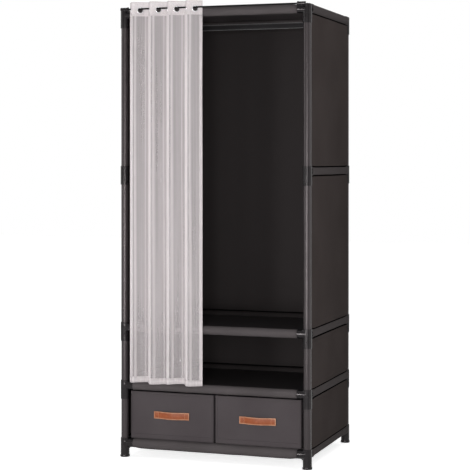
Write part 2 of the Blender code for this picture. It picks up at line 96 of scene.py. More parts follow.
def feed(tree, node, inputs):
    """Link or set a node's inputs, by name or by number."""
    for name, value in inputs.items():
        if isinstance(value, bpy.types.NodeSocket):
            tree.links.new(value, node.inputs[name])
        else:
            node.inputs[name].default_value = value


def add_node(tree, kind, inputs, **settings):
    """Add a shader node, and give its outputs."""
    node = tree.nodes.new(f"ShaderNode{kind}")
    for name, value in settings.items():
        setattr(node, name, value)
    feed(tree, node, inputs)
    return node.outputs


def combined(tree, operation, first, second):
    """One value out of two."""
    return add_node(tree, "Math", {0: first, 1: second}, operation=operation)[0]


def ranged(tree, value, low, high):
    """The value, from 0 to 1, spread from low to high."""
    return add_node(tree, "MapRange", {"Value": value, "To Min": low, "To Max": high})["Result"]


def seen_by(tree):
    """1 for what the camera, a reflection or clear material sees, and 0 for lighting."""
    path = add_node(tree, "LightPath", {})
    seen = path["Is Camera Ray"]
    for ray in ("Is Glossy Ray", "Is Transmission Ray"):
        seen = combined(tree, "MAXIMUM", seen, path[ray])
    return seen


def mesh_of(shape, name):
    """A finished bmesh as a mesh."""
    mesh = bpy.data.meshes.new(name)
    shape.to_mesh(mesh)
    shape.free()
    return mesh


surround = bpy.data.worlds.new("surround")
surround.use_nodes = True
tree = surround.node_tree
glow = ranged(tree, seen_by(tree), SURROUND_LIGHT, 1.0)
feed(tree, tree.nodes["Background"], {"Color": WHITE, "Strength": glow})
bpy.context.scene.world = surround

floor_shape = bmesh.new()
bmesh.ops.create_grid(floor_shape, x_segments=1, y_segments=1, size=FLOOR_HALF)
bmesh.ops.translate(floor_shape, verts=floor_shape.verts, vec=(0, 0, -FLOOR_DROP))
floor_mesh = mesh_of(floor_shape, "floor")
floor_paint = bpy.data.materials.new("floor_paint")
floor_paint.use_nodes = True
tree = floor_paint.node_tree
paint = {
    "Base Color": FLOOR_COLOUR,
    "Roughness": FLOOR_ROUGHNESS,
    "Emission Color": WHITE,
    "Emission Strength": ranged(tree, seen_by(tree), 0.0, FLOOR_GLOW),
}
feed(tree, tree.nodes["Principled BSDF"], paint)
floor_mesh.materials.append(floor_paint)
floor = bpy.data.objects.new("floor", floor_mesh)
bpy.context.scene.collection.objects.link(floor)

for name, place, aim, width, height, watts in SOFTBOXES:
    lamp = bpy.data.lights.new(name, "AREA")
    lamp.shape = "RECTANGLE"
    lamp.size = width
    lamp.size_y = height
    lamp.energy = watts
    softbox = bpy.data.objects.new(name, lamp)
    softbox.location = place
    softbox.rotation_euler = (Vector(aim) - Vector(place)).to_track_quat("-Z", "Y").to_euler()
    softbox.visible_camera = False
    bpy.context.scene.collection.objects.link(softbox)

# Corner connectors
# Twenty injection-moulded corners in glossy black plastic. Tubes push into their sockets, the post
# runs through the sleeve, and every inner corner of the moulding has a small rounded fillet.
SLOT_PLASTIC = "connector_plastic"
ROUND_SIDES = 48
FILLET = 0.0009
FILLET_STEPS = 3
MERGE_DISTANCE = 0.00005
SOCKET_PLAY = 0.0002
CUT_OVERRUN = 0.002
ARM_SHRINK = 0.00002
CREASE_ANGLE = radians(25)
SMOOTH_ANGLE = radians(50)
CAP_SHOULDER = 0.0145
CAP_ARC = radians(68.4)
CAP_STEPS = 8
FOOT_PAD = 0.006
FOOT_TAPER = 0.004
FOOT_FLOOR = 0.004
GUSSET_RADIUS = 0.012
GUSSET_THICKNESS = 0.005
GUSSET_SINK = 0.0005
GUSSET_STEPS = 8
BOSS_RADIUS = 0.007
BOSS_INWARD = 0.028
BOSS_OUTWARD = 0.003
BOSS_FLOOR = 0.006
BOSS_WEB_WIDTH = 0.014
BOSS_WEB_OUTWARD = 0.0015
BOSS_WEB_HEIGHT = 0.008
BOSS_WEB_DROP = 0.006
BOSS_LIP = 0.0012
BOSS_LIP_LENGTH = 0.004

QUARTER = pi / 2
SIDES = {"left": -1, "right": 1}
LEVEL_NAMES = ("bottom", "lower", "upper", "middle", "top")
CORNER_TURNS = {"front_left": 0, "front_right": 90, "rear_right": 180, "rear_left": 270}


def middle_of(node):
    """The middle of a node's box."""
    low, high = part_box(node)
    return (low + high) / 2


def half_of(node):
    """Half the size of a node's box."""
    low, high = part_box(node)
    return (high - low) / 2


levels = {name: middle_of(f"{name}_rail_left").z for name in LEVEL_NAMES}
spots = [f"{end}_{side}" for end in ("front", "rear") for side in SIDES]
posts = {spot: middle_of(f"post_{spot}") for spot in spots}
tube_radius = half_of("post_front_left").x
sleeve_low, sleeve_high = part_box("middle_connector_front_left")
sleeve_radius = (sleeve_high.x - sleeve_low.x) / 2
arm_length = sleeve_high.y - posts["front_left"].y
sleeve_rise = sleeve_high.z - levels["middle"]
sleeve_drop = levels["middle"] - sleeve_low.z
cap_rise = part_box("top_connector_rear_left")[1].z - levels["top"]
foot_radius = posts["front_left"].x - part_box("bottom_connector_front_left")[0].x
rod_radius = half_of("curtain_rod").z
rod_middle = middle_of("curtain_rod")
socket_radius = tube_radius + SOCKET_PLAY
AXIS_TURN = {
    "X": Matrix.Rotation(QUARTER, 4, "Y"),
    "Y": Matrix.Rotation(-QUARTER, 4, "X"),
    "Z": Matrix.Identity(4),
}


def closed_mesh(shape):
    """A finished bmesh as a mesh whose faces point outwards."""
    bmesh.ops.recalc_face_normals(shape, faces=shape.faces)
    return mesh_of(shape, "shape")


def turned(rings, ring_shaped=False):
    """A shape turned about Z from (radius, height) points, solid or with an open bore."""
    shape = bmesh.new()
    profile = [shape.verts.new((radius, 0, height)) for radius, height in rings]
    following = profile[1:] + profile[:1] if ring_shaped else profile[1:]
    geometry = profile + [shape.edges.new(pair) for pair in zip(profile, following)]
    bmesh.ops.spin(
        shape, geom=geometry, axis=(0, 0, 1), angle=tau, steps=ROUND_SIDES, use_merge=True
    )
    if not ring_shaped:
        rims = [edge for edge in shape.edges if edge.is_boundary]
        bmesh.ops.edgeloop_fill(shape, edges=rims)
    return closed_mesh(shape)


def bar(axis, radius, start, end):
    """A round bar along an axis."""
    mesh = turned([(radius, start), (radius, end)])
    mesh.transform(AXIS_TURN[axis])
    return mesh


def slab(outline, low, high):
    """A flat outline of (x, z) points, thick from low to high along Y."""
    shape = bmesh.new()
    face = shape.faces.new([shape.verts.new((x, low, z)) for x, z in outline])
    grown = bmesh.ops.extrude_face_region(shape, geom=[face])["geom"]
    far_side = [part for part in grown if isinstance(part, bmesh.types.BMVert)]
    bmesh.ops.translate(shape, verts=far_side, vec=(0, high - low, 0))
    return closed_mesh(shape)


def moved(mesh, place=(0, 0, 0), turn=0.0):
    """The mesh turned about Z, then moved."""
    mesh.transform(Matrix.Translation(place) @ Matrix.Rotation(turn, 4, "Z"))
    return mesh


def creases(shape, angle):
    """The edges where a shape turns by more than an angle."""
    return [edge for edge in shape.edges if edge.calc_face_angle(0) > angle]


def round_edges(shape, edges, offset, steps):
    """Round some edges of a shape."""
    bmesh.ops.bevel(
        shape, geom=edges, offset=offset, segments=steps, profile=0.5, affect="EDGES", material=-1
    )


def moulded(joined, bores):
    """One moulding: shapes fused, bored and then filleted along every crease."""
    steps = [("UNION", mesh) for mesh in joined[1:]] + [("DIFFERENCE", mesh) for mesh in bores]
    base = bpy.data.objects.new("base", joined[0])
    tools = []
    for operation, mesh in steps:
        tool = bpy.data.objects.new("tool", mesh)
        cut = base.modifiers.new(operation, "BOOLEAN")
        cut.operation = operation
        cut.solver = "EXACT"
        cut.object = tool
        tools.append(tool)
    for shown in [base, *tools]:
        bpy.context.scene.collection.objects.link(shown)
    depsgraph = bpy.context.evaluated_depsgraph_get()
    fused = bpy.data.meshes.new_from_object(base.evaluated_get(depsgraph))
    for used in [base, *tools]:
        bpy.data.objects.remove(used)
    shape = bmesh.new()
    shape.from_mesh(fused)
    bmesh.ops.remove_doubles(shape, verts=shape.verts, dist=MERGE_DISTANCE)
    bmesh.ops.dissolve_degenerate(shape, edges=shape.edges, dist=MERGE_DISTANCE)
    round_edges(shape, creases(shape, CREASE_ANGLE), FILLET, FILLET_STEPS)
    return mesh_of(shape, "moulding")


def add_piece(name, mesh, finish, slot, body, *nodes, smooth_angle=SMOOTH_ANGLE):
    """A finished piece at the origin, smooth but for its creases, riding on its body."""
    mesh.name = name
    mesh.materials.append(finish)
    mesh.shade_smooth()
    mesh.set_sharp_from_angle(angle=smooth_angle)
    piece = bpy.data.objects.new(name, mesh)
    bpy.context.scene.collection.objects.link(piece)
    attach(piece, body)
    if nodes:
        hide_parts(*nodes)
    return piece


def new_finish(name, colour, roughness, specular=0.5, metallic=0.0):
    """A finish with its even values set. Returns it, its node tree and its shader."""
    finish = bpy.data.materials.new(name)
    finish.use_nodes = True
    tree = finish.node_tree
    shader = tree.nodes["Principled BSDF"]
    even = {"Roughness": roughness, "Specular IOR Level": specular, "Metallic": metallic}
    feed(tree, shader, {"Base Color": (*colour, 1.0), **even})
    return finish, tree, shader


def from_object(tree, stretch=(1.0, 1.0, 1.0)):
    """Places on the piece, stretched along its axes."""
    place = add_node(tree, "TexCoord", {})["Object"]
    return add_node(tree, "Mapping", {"Vector": place, "Scale": stretch})["Vector"]


def clouds(tree, place, scale, detail=3.0, roughness=0.5):
    """Soft noise, from 0 to 1, with scale spots to the metre."""
    inputs = {"Vector": place, "Scale": scale, "Detail": detail, "Roughness": roughness}
    return add_node(tree, "TexNoise", inputs)["Fac"]


def tones(tree, value, *stops):
    """Colours for a value, from (position, colour) stops."""
    outputs = add_node(tree, "ValToRGB", {"Fac": value})
    elements = outputs["Color"].node.color_ramp.elements
    for element, (position, colour) in zip(elements, (stops[0], stops[-1])):
        element.position = position
        element.color = (*colour, 1.0)
    for position, colour in stops[1:-1]:
        elements.new(position).color = (*colour, 1.0)
    return outputs["Color"]


def relief(tree, shader, height, depth, strength):
    """Raise the surface by a height from 0 to 1, times depth in metres."""
    bump = add_node(tree, "Bump", {"Height": height, "Distance": depth, "Strength": strength})
    feed(tree, shader, {"Normal": bump["Normal"]})


def even_places(low, high, count):
    """Places from low to high, in count even steps."""
    return [low + (high - low) * step / count for step in range(count + 1)]


def cap_rings():
    """The outline of the domed cap over a post, from its shoulder up."""
    height = (cap_rise - CAP_SHOULDER) / sin(CAP_ARC)
    turns = even_places(0.0, CAP_ARC, CAP_STEPS)
    return [(sleeve_radius * cos(turn), CAP_SHOULDER + height * sin(turn)) for turn in turns]


def gusset():
    """The curved web between a foot and its arm. Its curve sinks into both at its ends."""
    inner = socket_radius
    reach = sleeve_radius + GUSSET_RADIUS - GUSSET_SINK
    outline = [(inner, -inner), (reach, -inner)]
    for turn in even_places(0.0, QUARTER, GUSSET_STEPS):
        outline.append((reach - GUSSET_RADIUS * sin(turn), -reach + GUSSET_RADIUS * cos(turn)))
    outline.append((inner, -reach))
    return slab(outline, -GUSSET_THICKNESS / 2, GUSSET_THICKNESS / 2)


def corner(rings, bore, arm_turns, extras=(), extra_bores=()):
    """A moulded corner about its post, with its level at height zero."""
    joined = [turned(rings)]
    bores = [bar("Z", socket_radius, *bore)]
    for turn in arm_turns:
        joined.append(moved(bar("X", sleeve_radius - ARM_SHRINK, 0, arm_length), turn=turn))
        socket = bar("X", socket_radius, sleeve_radius, arm_length + CUT_OVERRUN)
        bores.append(moved(socket, turn=turn))
    return moulded([*joined, *extras], [*bores, *extra_bores])


def foot_corner():
    """The lowest corner, whose sleeve ends in a foot with a pad and two gussets."""
    ground = -levels["bottom"]
    rings = [
        (foot_radius, ground),
        (foot_radius, ground + FOOT_PAD),
        (sleeve_radius, ground + FOOT_PAD + FOOT_TAPER),
        (sleeve_radius, sleeve_rise),
    ]
    turns = (0, QUARTER)
    webs = [moved(gusset(), turn=turn) for turn in turns]
    return corner(rings, (ground + FOOT_FLOOR, sleeve_rise + CUT_OVERRUN), turns, webs)


def sleeve_corner(*arm_turns):
    """A corner that the post runs through."""
    rings = [(sleeve_radius, -sleeve_drop), (sleeve_radius, sleeve_rise)]
    return corner(rings, (-sleeve_drop - CUT_OVERRUN, sleeve_rise + CUT_OVERRUN), arm_turns)


def cap_corner(*arm_turns, inward=0):
    """A top corner. The front ones carry the curtain rod in a boss that opens inward."""
    rings = [(sleeve_radius, -sleeve_drop)] + cap_rings()
    bore = (-sleeve_drop - CUT_OVERRUN, FOOT_PAD)
    if not inward:
        return corner(rings, bore, arm_turns)
    ahead = rod_middle.y - posts["front_left"].y
    above = rod_middle.z - levels["top"]
    turn = 0 if inward > 0 else pi
    socket_end = BOSS_INWARD + CUT_OVERRUN
    boss = bar("X", BOSS_RADIUS, -BOSS_OUTWARD, BOSS_INWARD)
    lip = bar("X", BOSS_RADIUS + BOSS_LIP, BOSS_INWARD - BOSS_LIP_LENGTH, BOSS_INWARD)
    socket = bar("X", rod_radius + SOCKET_PLAY, BOSS_FLOOR - BOSS_OUTWARD, socket_end)
    for mesh in (boss, lip, socket):
        moved(mesh, (0, ahead, above), turn)
    near = -BOSS_WEB_OUTWARD * inward
    far = (BOSS_WEB_WIDTH - BOSS_WEB_OUTWARD) * inward
    low = above - BOSS_WEB_DROP
    high = low + BOSS_WEB_HEIGHT
    web = slab([(near, low), (far, low), (far, high), (near, high)], ahead, 0)
    return corner(rings, bore, arm_turns, [boss, lip, web], [socket])


plastic, tree, shader = new_finish("black_plastic", (0.007, 0.0065, 0.007), 0.18, 0.21)
place = from_object(tree)
flow = clouds(tree, place, 60.0)
gloss = {
    "Base Color": tones(tree, flow, (0.3, (0.005, 0.0045, 0.005)), (0.7, (0.010, 0.009, 0.010))),
    "Roughness": ranged(tree, flow, 0.15, 0.20),
    "Specular Tint": (1.0, 0.93, 0.94, 1.0),
}
feed(tree, shader, gloss)
relief(tree, shader, clouds(tree, place, 1400.0, 2.0), 0.00002, 0.08)

shared_corners = {
    "bottom": foot_corner(),
    "lower": sleeve_corner(0, QUARTER),
    "middle": sleeve_corner(QUARTER),
    "top": cap_corner(0, QUARTER),
}
shared_corners["upper"] = shared_corners["lower"]
rod_corners = {
    "front_left": cap_corner(0, QUARTER, inward=1),
    "front_right": cap_corner(QUARTER, pi, inward=-1),
}
for level, height in levels.items():
    for spot, degrees in CORNER_TURNS.items():
        mesh = shared_corners[level]
        turn = radians(degrees)
        if level == "middle":
            turn = pi if spot.startswith("rear") else 0
        if level == "top" and spot in rod_corners:
            mesh = rod_corners[spot]
            turn = 0
        mesh = moved(mesh.copy(), (posts[spot].x, posts[spot].y, height), turn)
        node = f"{level}_connector_{spot}"
        piece = add_piece(f"{level}_{spot}_corner", mesh, plastic, SLOT_PLASTIC, "frame", node)
        shading = piece.modifiers.new("even_shading", "WEIGHTED_NORMAL")
        shading.keep_sharp = True

# Posts and rails
# Round steel tube with a dark grey powder coat. A post is four lengths that meet inside the
# connectors. The rails are cut to length and hide in the sewn tunnels of the cloth.
SLOT_STEEL = "tube_steel"
TUBE_WALL = 0.0010
TUBE_JOINT = 0.0008
TUBE_ROUND = 0.0003

steel, tree, shader = new_finish("coated_steel", (0.040, 0.036, 0.037), 0.22, 0.28)
grain = clouds(tree, from_object(tree), 700.0, 2.0)
coat = {
    "Base Color": tones(tree, grain, (0.3, (0.027, 0.023, 0.024)), (0.7, (0.033, 0.028, 0.029))),
    "Roughness": ranged(tree, grain, 0.19, 0.25),
    "Specular Tint": (1.0, 0.90, 0.92, 1.0),
}
feed(tree, shader, coat)
relief(tree, shader, grain, 0.00003, 0.15)


def tube_mesh(axis, radius, start, end):
    """An open tube with its cut ends slightly rounded. Extra rings keep its shading even."""
    bore = radius - TUBE_WALL
    soft = TUBE_ROUND
    heights = (start + soft, start + 2 * soft, end - 2 * soft, end - soft)
    outer = [(radius, height) for height in heights]
    outer = [(radius - soft, start), *outer, (radius - soft, end)]
    mesh = turned([(bore, start), *outer, (bore, end)], ring_shaped=True)
    mesh.transform(AXIS_TURN[axis])
    return mesh


def joined_mesh(meshes):
    """Several closed shapes in one mesh."""
    shape = bmesh.new()
    for mesh in meshes:
        shape.from_mesh(mesh)
    return mesh_of(shape, "joined")


for spot, post in posts.items():
    node = f"post_{spot}"
    low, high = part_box(node)
    cuts = [low.z] + [levels[name] for name in LEVEL_NAMES[1:-1]] + [high.z]
    lengths = []
    for start, end in zip(cuts, cuts[1:]):
        length = tube_mesh("Z", tube_radius, start + TUBE_JOINT, end - TUBE_JOINT)
        lengths.append(moved(length, (post.x, post.y, 0)))
    add_piece(f"{spot}_post_tubes", joined_mesh(lengths), steel, SLOT_STEEL, "frame", node)

for level in LEVEL_NAMES:
    for where in ("left", "right", "front", "rear"):
        node = f"{level}_rail_{where}"
        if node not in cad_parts:
            continue
        axis = "Y" if where in SIDES else "X"
        low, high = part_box(node)
        half = (high.y - low.y) / 2 if axis == "Y" else (high.x - low.x) / 2
        mesh = moved(tube_mesh(axis, tube_radius, -half, half), (low + high) / 2)
        add_piece(f"{level}_{where}_rail", mesh, steel, SLOT_STEEL, "frame", node)

# Side and back covers
# Dark brown-grey cloth, cut in one piece from the bottom rail to the top one. At each level a strip
# sewn on behind makes a tunnel that the rail runs through, and the seams pull in creases, whose
# deepest faces are painted near black as painted shade.
SLOT_COVER = "cover_cloth"
CLOTH = 0.0012
CLOTH_CREASE = radians(80)
COVER_OFFSET = 0.0115
SEAM_WIDTH = 0.0060
SEAM_DEPTH = 0.0055
SEAM_SWING = 0.0007
SEAM_WAVES = (11.0, 5.0)
# Seam faces that sink deeper than this share are painted black, as the crease's painted shade.
SEAM_SHADE_FROM = 0.7
BAND_HALF = 0.0160
BAND_RIPPLE = 0.0004
BAND_WAVES = (30.0, 50.0)
BAND_STEPS = 6
ARM_FLARE = 0.0011
ARM_SWELL = 0.0021
FLARE_RUN = 0.008
CROWN_FRONT = 0.0010
CROWN_LEAN = 0.0030
CROWN_RISE = 0.0172
CROWN_ROUND = 0.004
CROWN_STEPS = 4
# Two rows up the front of a crown, its rounded edge, and two rows over the top.
CROWN_ROWS = 2 + CROWN_STEPS + 2
CROWN_REACH = 0.024
PANEL_STEP = 0.022
COLUMN_STEP = 0.010
TUNNEL_STEPS = 14
TUNNEL_FADE = 0.03
TUNNEL_WAVES = (14.0, 0.8)
HEM_WIDTH = 0.010
HEM_SLOPE = 0.002
HEM_RISE = 0.0005
PANEL_SWELL = 0.0016
BROAD_SHARE = 1.2
BROAD_WAVES = (3.1, 2.3)
RIPPLE_SHARE = 0.35
RIPPLE_WAVES = (9.0, 17.0)
SWELL_FADE = 0.06
RIPPLE_FADE = 0.03
EDGE_REACH = 0.0036
EDGE_BEND = 0.020
EDGE_CLEAR = 0.008
# Across a seam: how far from its outer side, in seam widths, and how deep.
SEAM_SHAPE = ((-0.9, 0.0), (-0.5, -0.15), (-0.32, 0.75), (0.0, 1.0), (0.32, 0.75), (0.5, 0.05))
THREAD_PITCH = 0.0016
THREAD_DEPTH = 0.00018
THREAD_STRENGTH = 0.5
THREAD_WAVER = 0.6
THREAD_DETAIL = 1.0
THREAD_DETAIL_SCALE = 0.5
# The wave texture holds this many waves to one turn of its scale.
WAVE_TURNS = 20
tunnel_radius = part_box("top_cover")[1].z - levels["top"]
tunnel_middle = tunnel_radius - CLOTH / 2


def smooth_step(share):
    """0 to 1 with soft ends."""
    share = min(1.0, max(0.0, share))
    return share * share * (3 - 2 * share)


def waves(scale, first, second, seed):
    """Soft waves from -1 to 1 at a place, with scale how close they lie each way."""
    return noise.noise(Vector((first * scale[0], second * scale[1], seed)))


def cover_rows(low, high, tunnel_levels):
    """The rows of a cover from its foot up: what each is part of, with its place there."""
    rows = []
    bottom = low
    below = even_places(-1, 0, BAND_STEPS)[:-1]
    for level in [*tunnel_levels, None]:
        if level is not None and level - BAND_HALF < low:
            rows += [("under", level, spot) for spot in below]
        else:
            top = high if level is None else level - BAND_HALF - SEAM_WIDTH
            if top - bottom > PANEL_STEP / 2:
                count = max(1, round((top - bottom) / PANEL_STEP))
                rows += [("panel", None, place) for place in even_places(bottom, top, count)]
            if level is None:
                break
            rows += [("seam", level, (-1, *spot)) for spot in SEAM_SHAPE]
            rows += [("band", level, spot) for spot in below]
        if level + BAND_HALF > high:
            rows += [("crown", level, step) for step in range(CROWN_ROWS)]
            break
        rows += [("band", level, spot) for spot in even_places(0, 1, BAND_STEPS)]
        rows += [("seam", level, (1, *spot)) for spot in reversed(SEAM_SHAPE)]
        bottom = level + BAND_HALF + SEAM_WIDTH
    return rows


def cover_point(part, level, spot, flare, has_crown):
    """How far out and how high a row of a cover lies. Flare is 1 over a connector's arm."""
    half = BAND_HALF + ARM_FLARE * flare
    front = tunnel_middle + ARM_SWELL * flare
    if part == "panel":
        return COVER_OFFSET, spot
    if part == "seam":
        way, shift, sink = spot
        return COVER_OFFSET - SEAM_DEPTH * sink, level + way * (half - SEAM_WIDTH * shift)
    if has_crown:
        front = tunnel_radius + CROWN_FRONT + (ARM_SWELL - CROWN_FRONT) * flare
    if part == "band":
        rise = (half - SEAM_WIDTH / 2) * spot
        return COVER_OFFSET + (front - COVER_OFFSET) * (1 - abs(spot) ** 3), level + rise
    if part == "under":
        return front * cos(QUARTER * spot), level + front * sin(QUARTER * spot)
    high = level + CROWN_RISE + (ARM_SWELL - CROWN_FRONT) * flare
    if spot < 2:
        return front - CROWN_LEAN * spot, level + (high - CROWN_ROUND - level) * spot
    front -= CROWN_LEAN
    if spot < CROWN_STEPS + 2:
        turn = QUARTER * (spot - 1) / CROWN_STEPS
        return front - CROWN_ROUND * (1 - cos(turn)), high - CROWN_ROUND * (1 - sin(turn))
    share = (spot - CROWN_STEPS - 1) / 2
    return (front - CROWN_ROUND) * (1 - share) - CROWN_REACH * share, high


def spread(low, high, step, marks=()):
    """Places from low to high about a step apart, with the marks among them."""
    stops = sorted([low, high, *marks])
    places = [low]
    for start, end in zip(stops, stops[1:]):
        places += even_places(start, end, max(1, round((end - start) / step)))[1:]
    return places


def cloth_sheet(across, along, place, value=None):
    """A sheet of cloth as a grid. place(i, j) gives a point and its place on the flat cloth."""
    shape = bmesh.new()
    columns = len(across) - 1
    rows = len(along) - 1
    bmesh.ops.create_grid(shape, x_segments=columns, y_segments=rows, size=0.5)
    flat = shape.loops.layers.uv.new("cloth")
    if value:
        shape.verts.layers.float.new(value)
    spots = {}
    for vertex in shape.verts:
        i = round((vertex.co.x + 0.5) * columns)
        j = round((vertex.co.y + 0.5) * rows)
        vertex.co, spots[vertex] = place(i, j)
    for face in shape.faces:
        for loop in face.loops:
            loop[flat].uv = spots[loop.vert]
    return shape, spots


def flat_middle(face, spots):
    """The middle of a face on the flat cloth."""
    return [sum(spots[vertex][k] for vertex in face.verts) / len(face.verts) for k in (0, 1)]


def add_cloth(name, shape, finish, slot, thickness, *nodes, body="frame"):
    """A sheet as a piece. A modifier gives it its thickness, half to each side."""
    mesh = mesh_of(shape, name)
    piece = add_piece(name, mesh, finish, slot, body, *nodes, smooth_angle=CLOTH_CREASE)
    solid = piece.modifiers.new("thickness", "SOLIDIFY")
    solid.thickness = thickness
    solid.offset = 0.0
    return piece


def tunnel(plane, half, turns, seed=0.0, ripple=0.0, rise=0.0, droop=0.0):
    """Cloth round a rail in a plane, through the turns. It can lie loose between its ends."""
    columns = spread(-half, half, COLUMN_STEP)

    def place(i, j):
        across, turn = columns[i], turns[j]
        loose = smooth_step((half - abs(across)) / TUNNEL_FADE)
        radius = tunnel_middle + loose * ripple * waves(TUNNEL_WAVES, across, turn, seed)
        height = radius * sin(turn)
        height *= 1 + loose * (rise if height > 0 else droop) / tunnel_middle
        point = plane @ Vector((radius * cos(turn), across, height))
        return point, (across, tunnel_middle * turn)

    return cloth_sheet(columns, turns, place)[0]


def cover_swell(across, height, half, low, high, seed):
    """How far a stretched cover stands off its plane: soft waves, none at its edges."""
    edge = smooth_step((half - abs(across)) / SWELL_FADE)
    ends = smooth_step((height - low) / RIPPLE_FADE) * smooth_step((high - height) / RIPPLE_FADE)
    broad = waves(BROAD_WAVES, across, height, seed)
    ripple = waves(RIPPLE_WAVES, across, height, seed + 4.0)
    return PANEL_SWELL * edge * (broad * BROAD_SHARE + ripple * RIPPLE_SHARE * ends)


def edge_shift(across, half, height):
    """How far a cover's edge draws in beside the sleeves. Elsewhere it meets the post."""
    pull = 0.0
    for level in levels.values():
        above = smooth_step((height - level + sleeve_drop + EDGE_CLEAR) / EDGE_CLEAR)
        below = smooth_step((level + sleeve_rise + EDGE_CLEAR - height) / EDGE_CLEAR)
        pull = max(pull, above * below)
    share = smooth_step((abs(across) - half + EDGE_BEND) / EDGE_BEND)
    return EDGE_REACH * pull * share * (-1 if across > 0 else 1)


def add_cover(name, plane, span, half, low, high, tunnel_levels, seed, node, finishes):
    """A cover in a plane, as a matrix that takes (outward, across, height) to the wardrobe."""
    rows = cover_rows(low, high, tunnel_levels)
    notch = span - arm_length - SOCKET_PLAY
    half += EDGE_REACH
    marks = (-notch, notch, FLARE_RUN - notch, notch - FLARE_RUN)
    columns = spread(-half, half, COLUMN_STEP, marks)
    run = [0.0]
    middles = [Vector(cover_point(*row, 0.0, row[0] == "crown")) for row in rows]
    for before, after in zip(middles, middles[1:]):
        run.append(run[-1] + (after - before).length)
    crown_level = rows[-1][1]

    def place(i, j):
        part, level, spot = rows[j]
        across = columns[i]
        flare = smooth_step((abs(across) - notch + FLARE_RUN) / FLARE_RUN)
        outward, height = cover_point(part, level, spot, flare, level == crown_level)
        if part == "panel":
            outward += cover_swell(across, height, half, low, high, seed)
            outward += HEM_RISE * smooth_step((abs(across) - half + HEM_WIDTH) / HEM_SLOPE)
        elif part == "seam":
            height += SEAM_SWING * waves(SEAM_WAVES, across, level, seed + 9.0)
        else:
            outward += BAND_RIPPLE * (1 - flare) * waves(BAND_WAVES, across, height, seed)
        along = across + edge_shift(across, half, height)
        return plane @ Vector((outward, along, height)), (across, run[j])

    shape, spots = cloth_sheet(columns, rows, place)
    inverse = plane.inverted()
    cut = []
    for face in shape.faces:
        middle = inverse @ face.calc_center_median()
        if Vector((middle.x, span - abs(middle.y))).length < sleeve_radius + SOCKET_PLAY:
            cut.append(face)
    bmesh.ops.delete(shape, geom=cut, context="FACES")
    # Faces deep in a seam take the near-black seam finish: painted shade in the crease.
    for face in shape.faces:
        j = bisect_left(run, flat_middle(face, spots)[1]) - 1
        sinks = [row[2][2] for row in rows[j : j + 2] if row[0] == "seam"]
        if sinks and max(sinks) > SEAM_SHADE_FROM:
            face.material_index = 1
        # Band rows take the lighter band cloth: painted light.
        elif rows[j][0] in ("band", "under", "crown"):
            face.material_index = 2
    piece = add_cloth(name, shape, finishes[0], SLOT_COVER, CLOTH, node)
    for finish in finishes[1:]:
        piece.data.materials.append(finish)

    turns = even_places(QUARTER, QUARTER + pi, TUNNEL_STEPS)
    strips = bmesh.new()
    for level in tunnel_levels:
        strip = tunnel(plane @ Matrix.Translation((0, 0, level)), notch, turns)
        strips.from_mesh(mesh_of(strip, "strip"))
    sleeves = add_cloth(f"{name}_sleeves", strips, finishes[-1], SLOT_COVER, CLOTH)


def weave(tree, shader, thread, depth, strength):
    """A plain weave in relief on the flat cloth, thread metres apart."""
    inputs = {
        "Vector": add_node(tree, "UVMap", {}, uv_map="cloth")["UV"],
        "Scale": tau / thread / WAVE_TURNS,
        "Distortion": THREAD_WAVER,
        "Detail": THREAD_DETAIL,
        "Detail Scale": THREAD_DETAIL_SCALE,
    }
    weft, warp = (add_node(tree, "TexWave", inputs, bands_direction=axis)["Fac"] for axis in "XY")
    relief(tree, shader, combined(tree, "MULTIPLY", weft, warp), depth, strength)


def patchy(tree, shader, scale, dark, pale):
    """Colour a cloth in soft patches, with scale spots to the metre."""
    patches = clouds(tree, from_object(tree), scale, 4.0)
    feed(tree, shader, {"Base Color": tones(tree, patches, (0.25, dark), (0.75, pale))})


def woven(name, colour, roughness, specular, *patches):
    """A woven cloth, of one colour or patchy."""
    cloth, tree, shader = new_finish(name, colour, roughness, specular)
    if patches:
        patchy(tree, shader, *patches)
    weave(tree, shader, THREAD_PITCH, THREAD_DEPTH, THREAD_STRENGTH)
    return cloth


cover_tones = ((0.041, 0.033, 0.031), (0.053, 0.043, 0.041))
cover_cloth = woven("cover_cloth", (0.046, 0.037, 0.035), 0.9, 0.03, 5.0, *cover_tones)
# A lighter copy of the cover cloth, for the bands round the rails: painted light where they stand
# out.
band_painted_light_cloth = woven("band_painted_light_cloth", (0.065, 0.057, 0.057), 0.9, 0.04)
# A darker copy of the cover cloth, used for the rear cover: painted shade for the inside of the
# wardrobe.
lining = woven("lining_cloth", (0.031, 0.027, 0.027), 0.9, 0.03)
# Near black, on the deepest seam faces: painted shade in the creases.
seam_shade_paint, _, _ = new_finish("seam_shade_paint", (0.003, 0.003, 0.003), 0.95, 0.0)

for side, sign in SIDES.items():
    rail = middle_of(f"middle_rail_{side}")
    cover_low, cover_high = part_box(f"side_cover_{side}")
    add_cover(
        f"{side}_cover",
        Matrix.Translation((rail.x, rail.y, 0)) @ Matrix.Diagonal((sign, sign, 1, 1)),
        (posts["rear_left"].y - posts["front_left"].y) / 2,
        (cover_high.y - cover_low.y) / 2,
        levels["bottom"],
        levels["top"],
        list(levels.values()),
        3.0 + sign,
        f"side_cover_{side}",
        (cover_cloth, seam_shade_paint, band_painted_light_cloth),
    )

cover_low, cover_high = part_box("back_cover")
add_cover(
    "rear_cover",
    Matrix.Translation((0, middle_of("lower_rail_rear").y, 0)) @ Matrix.Rotation(QUARTER, 4, "Z"),
    (posts["front_right"].x - posts["front_left"].x) / 2,
    (cover_high.x - cover_low.x) / 2,
    cover_low.z,
    cover_high.z,
    [levels["lower"], levels["upper"]],
    7.0,
    "back_cover",
    (lining, seam_shade_paint, lining),
)

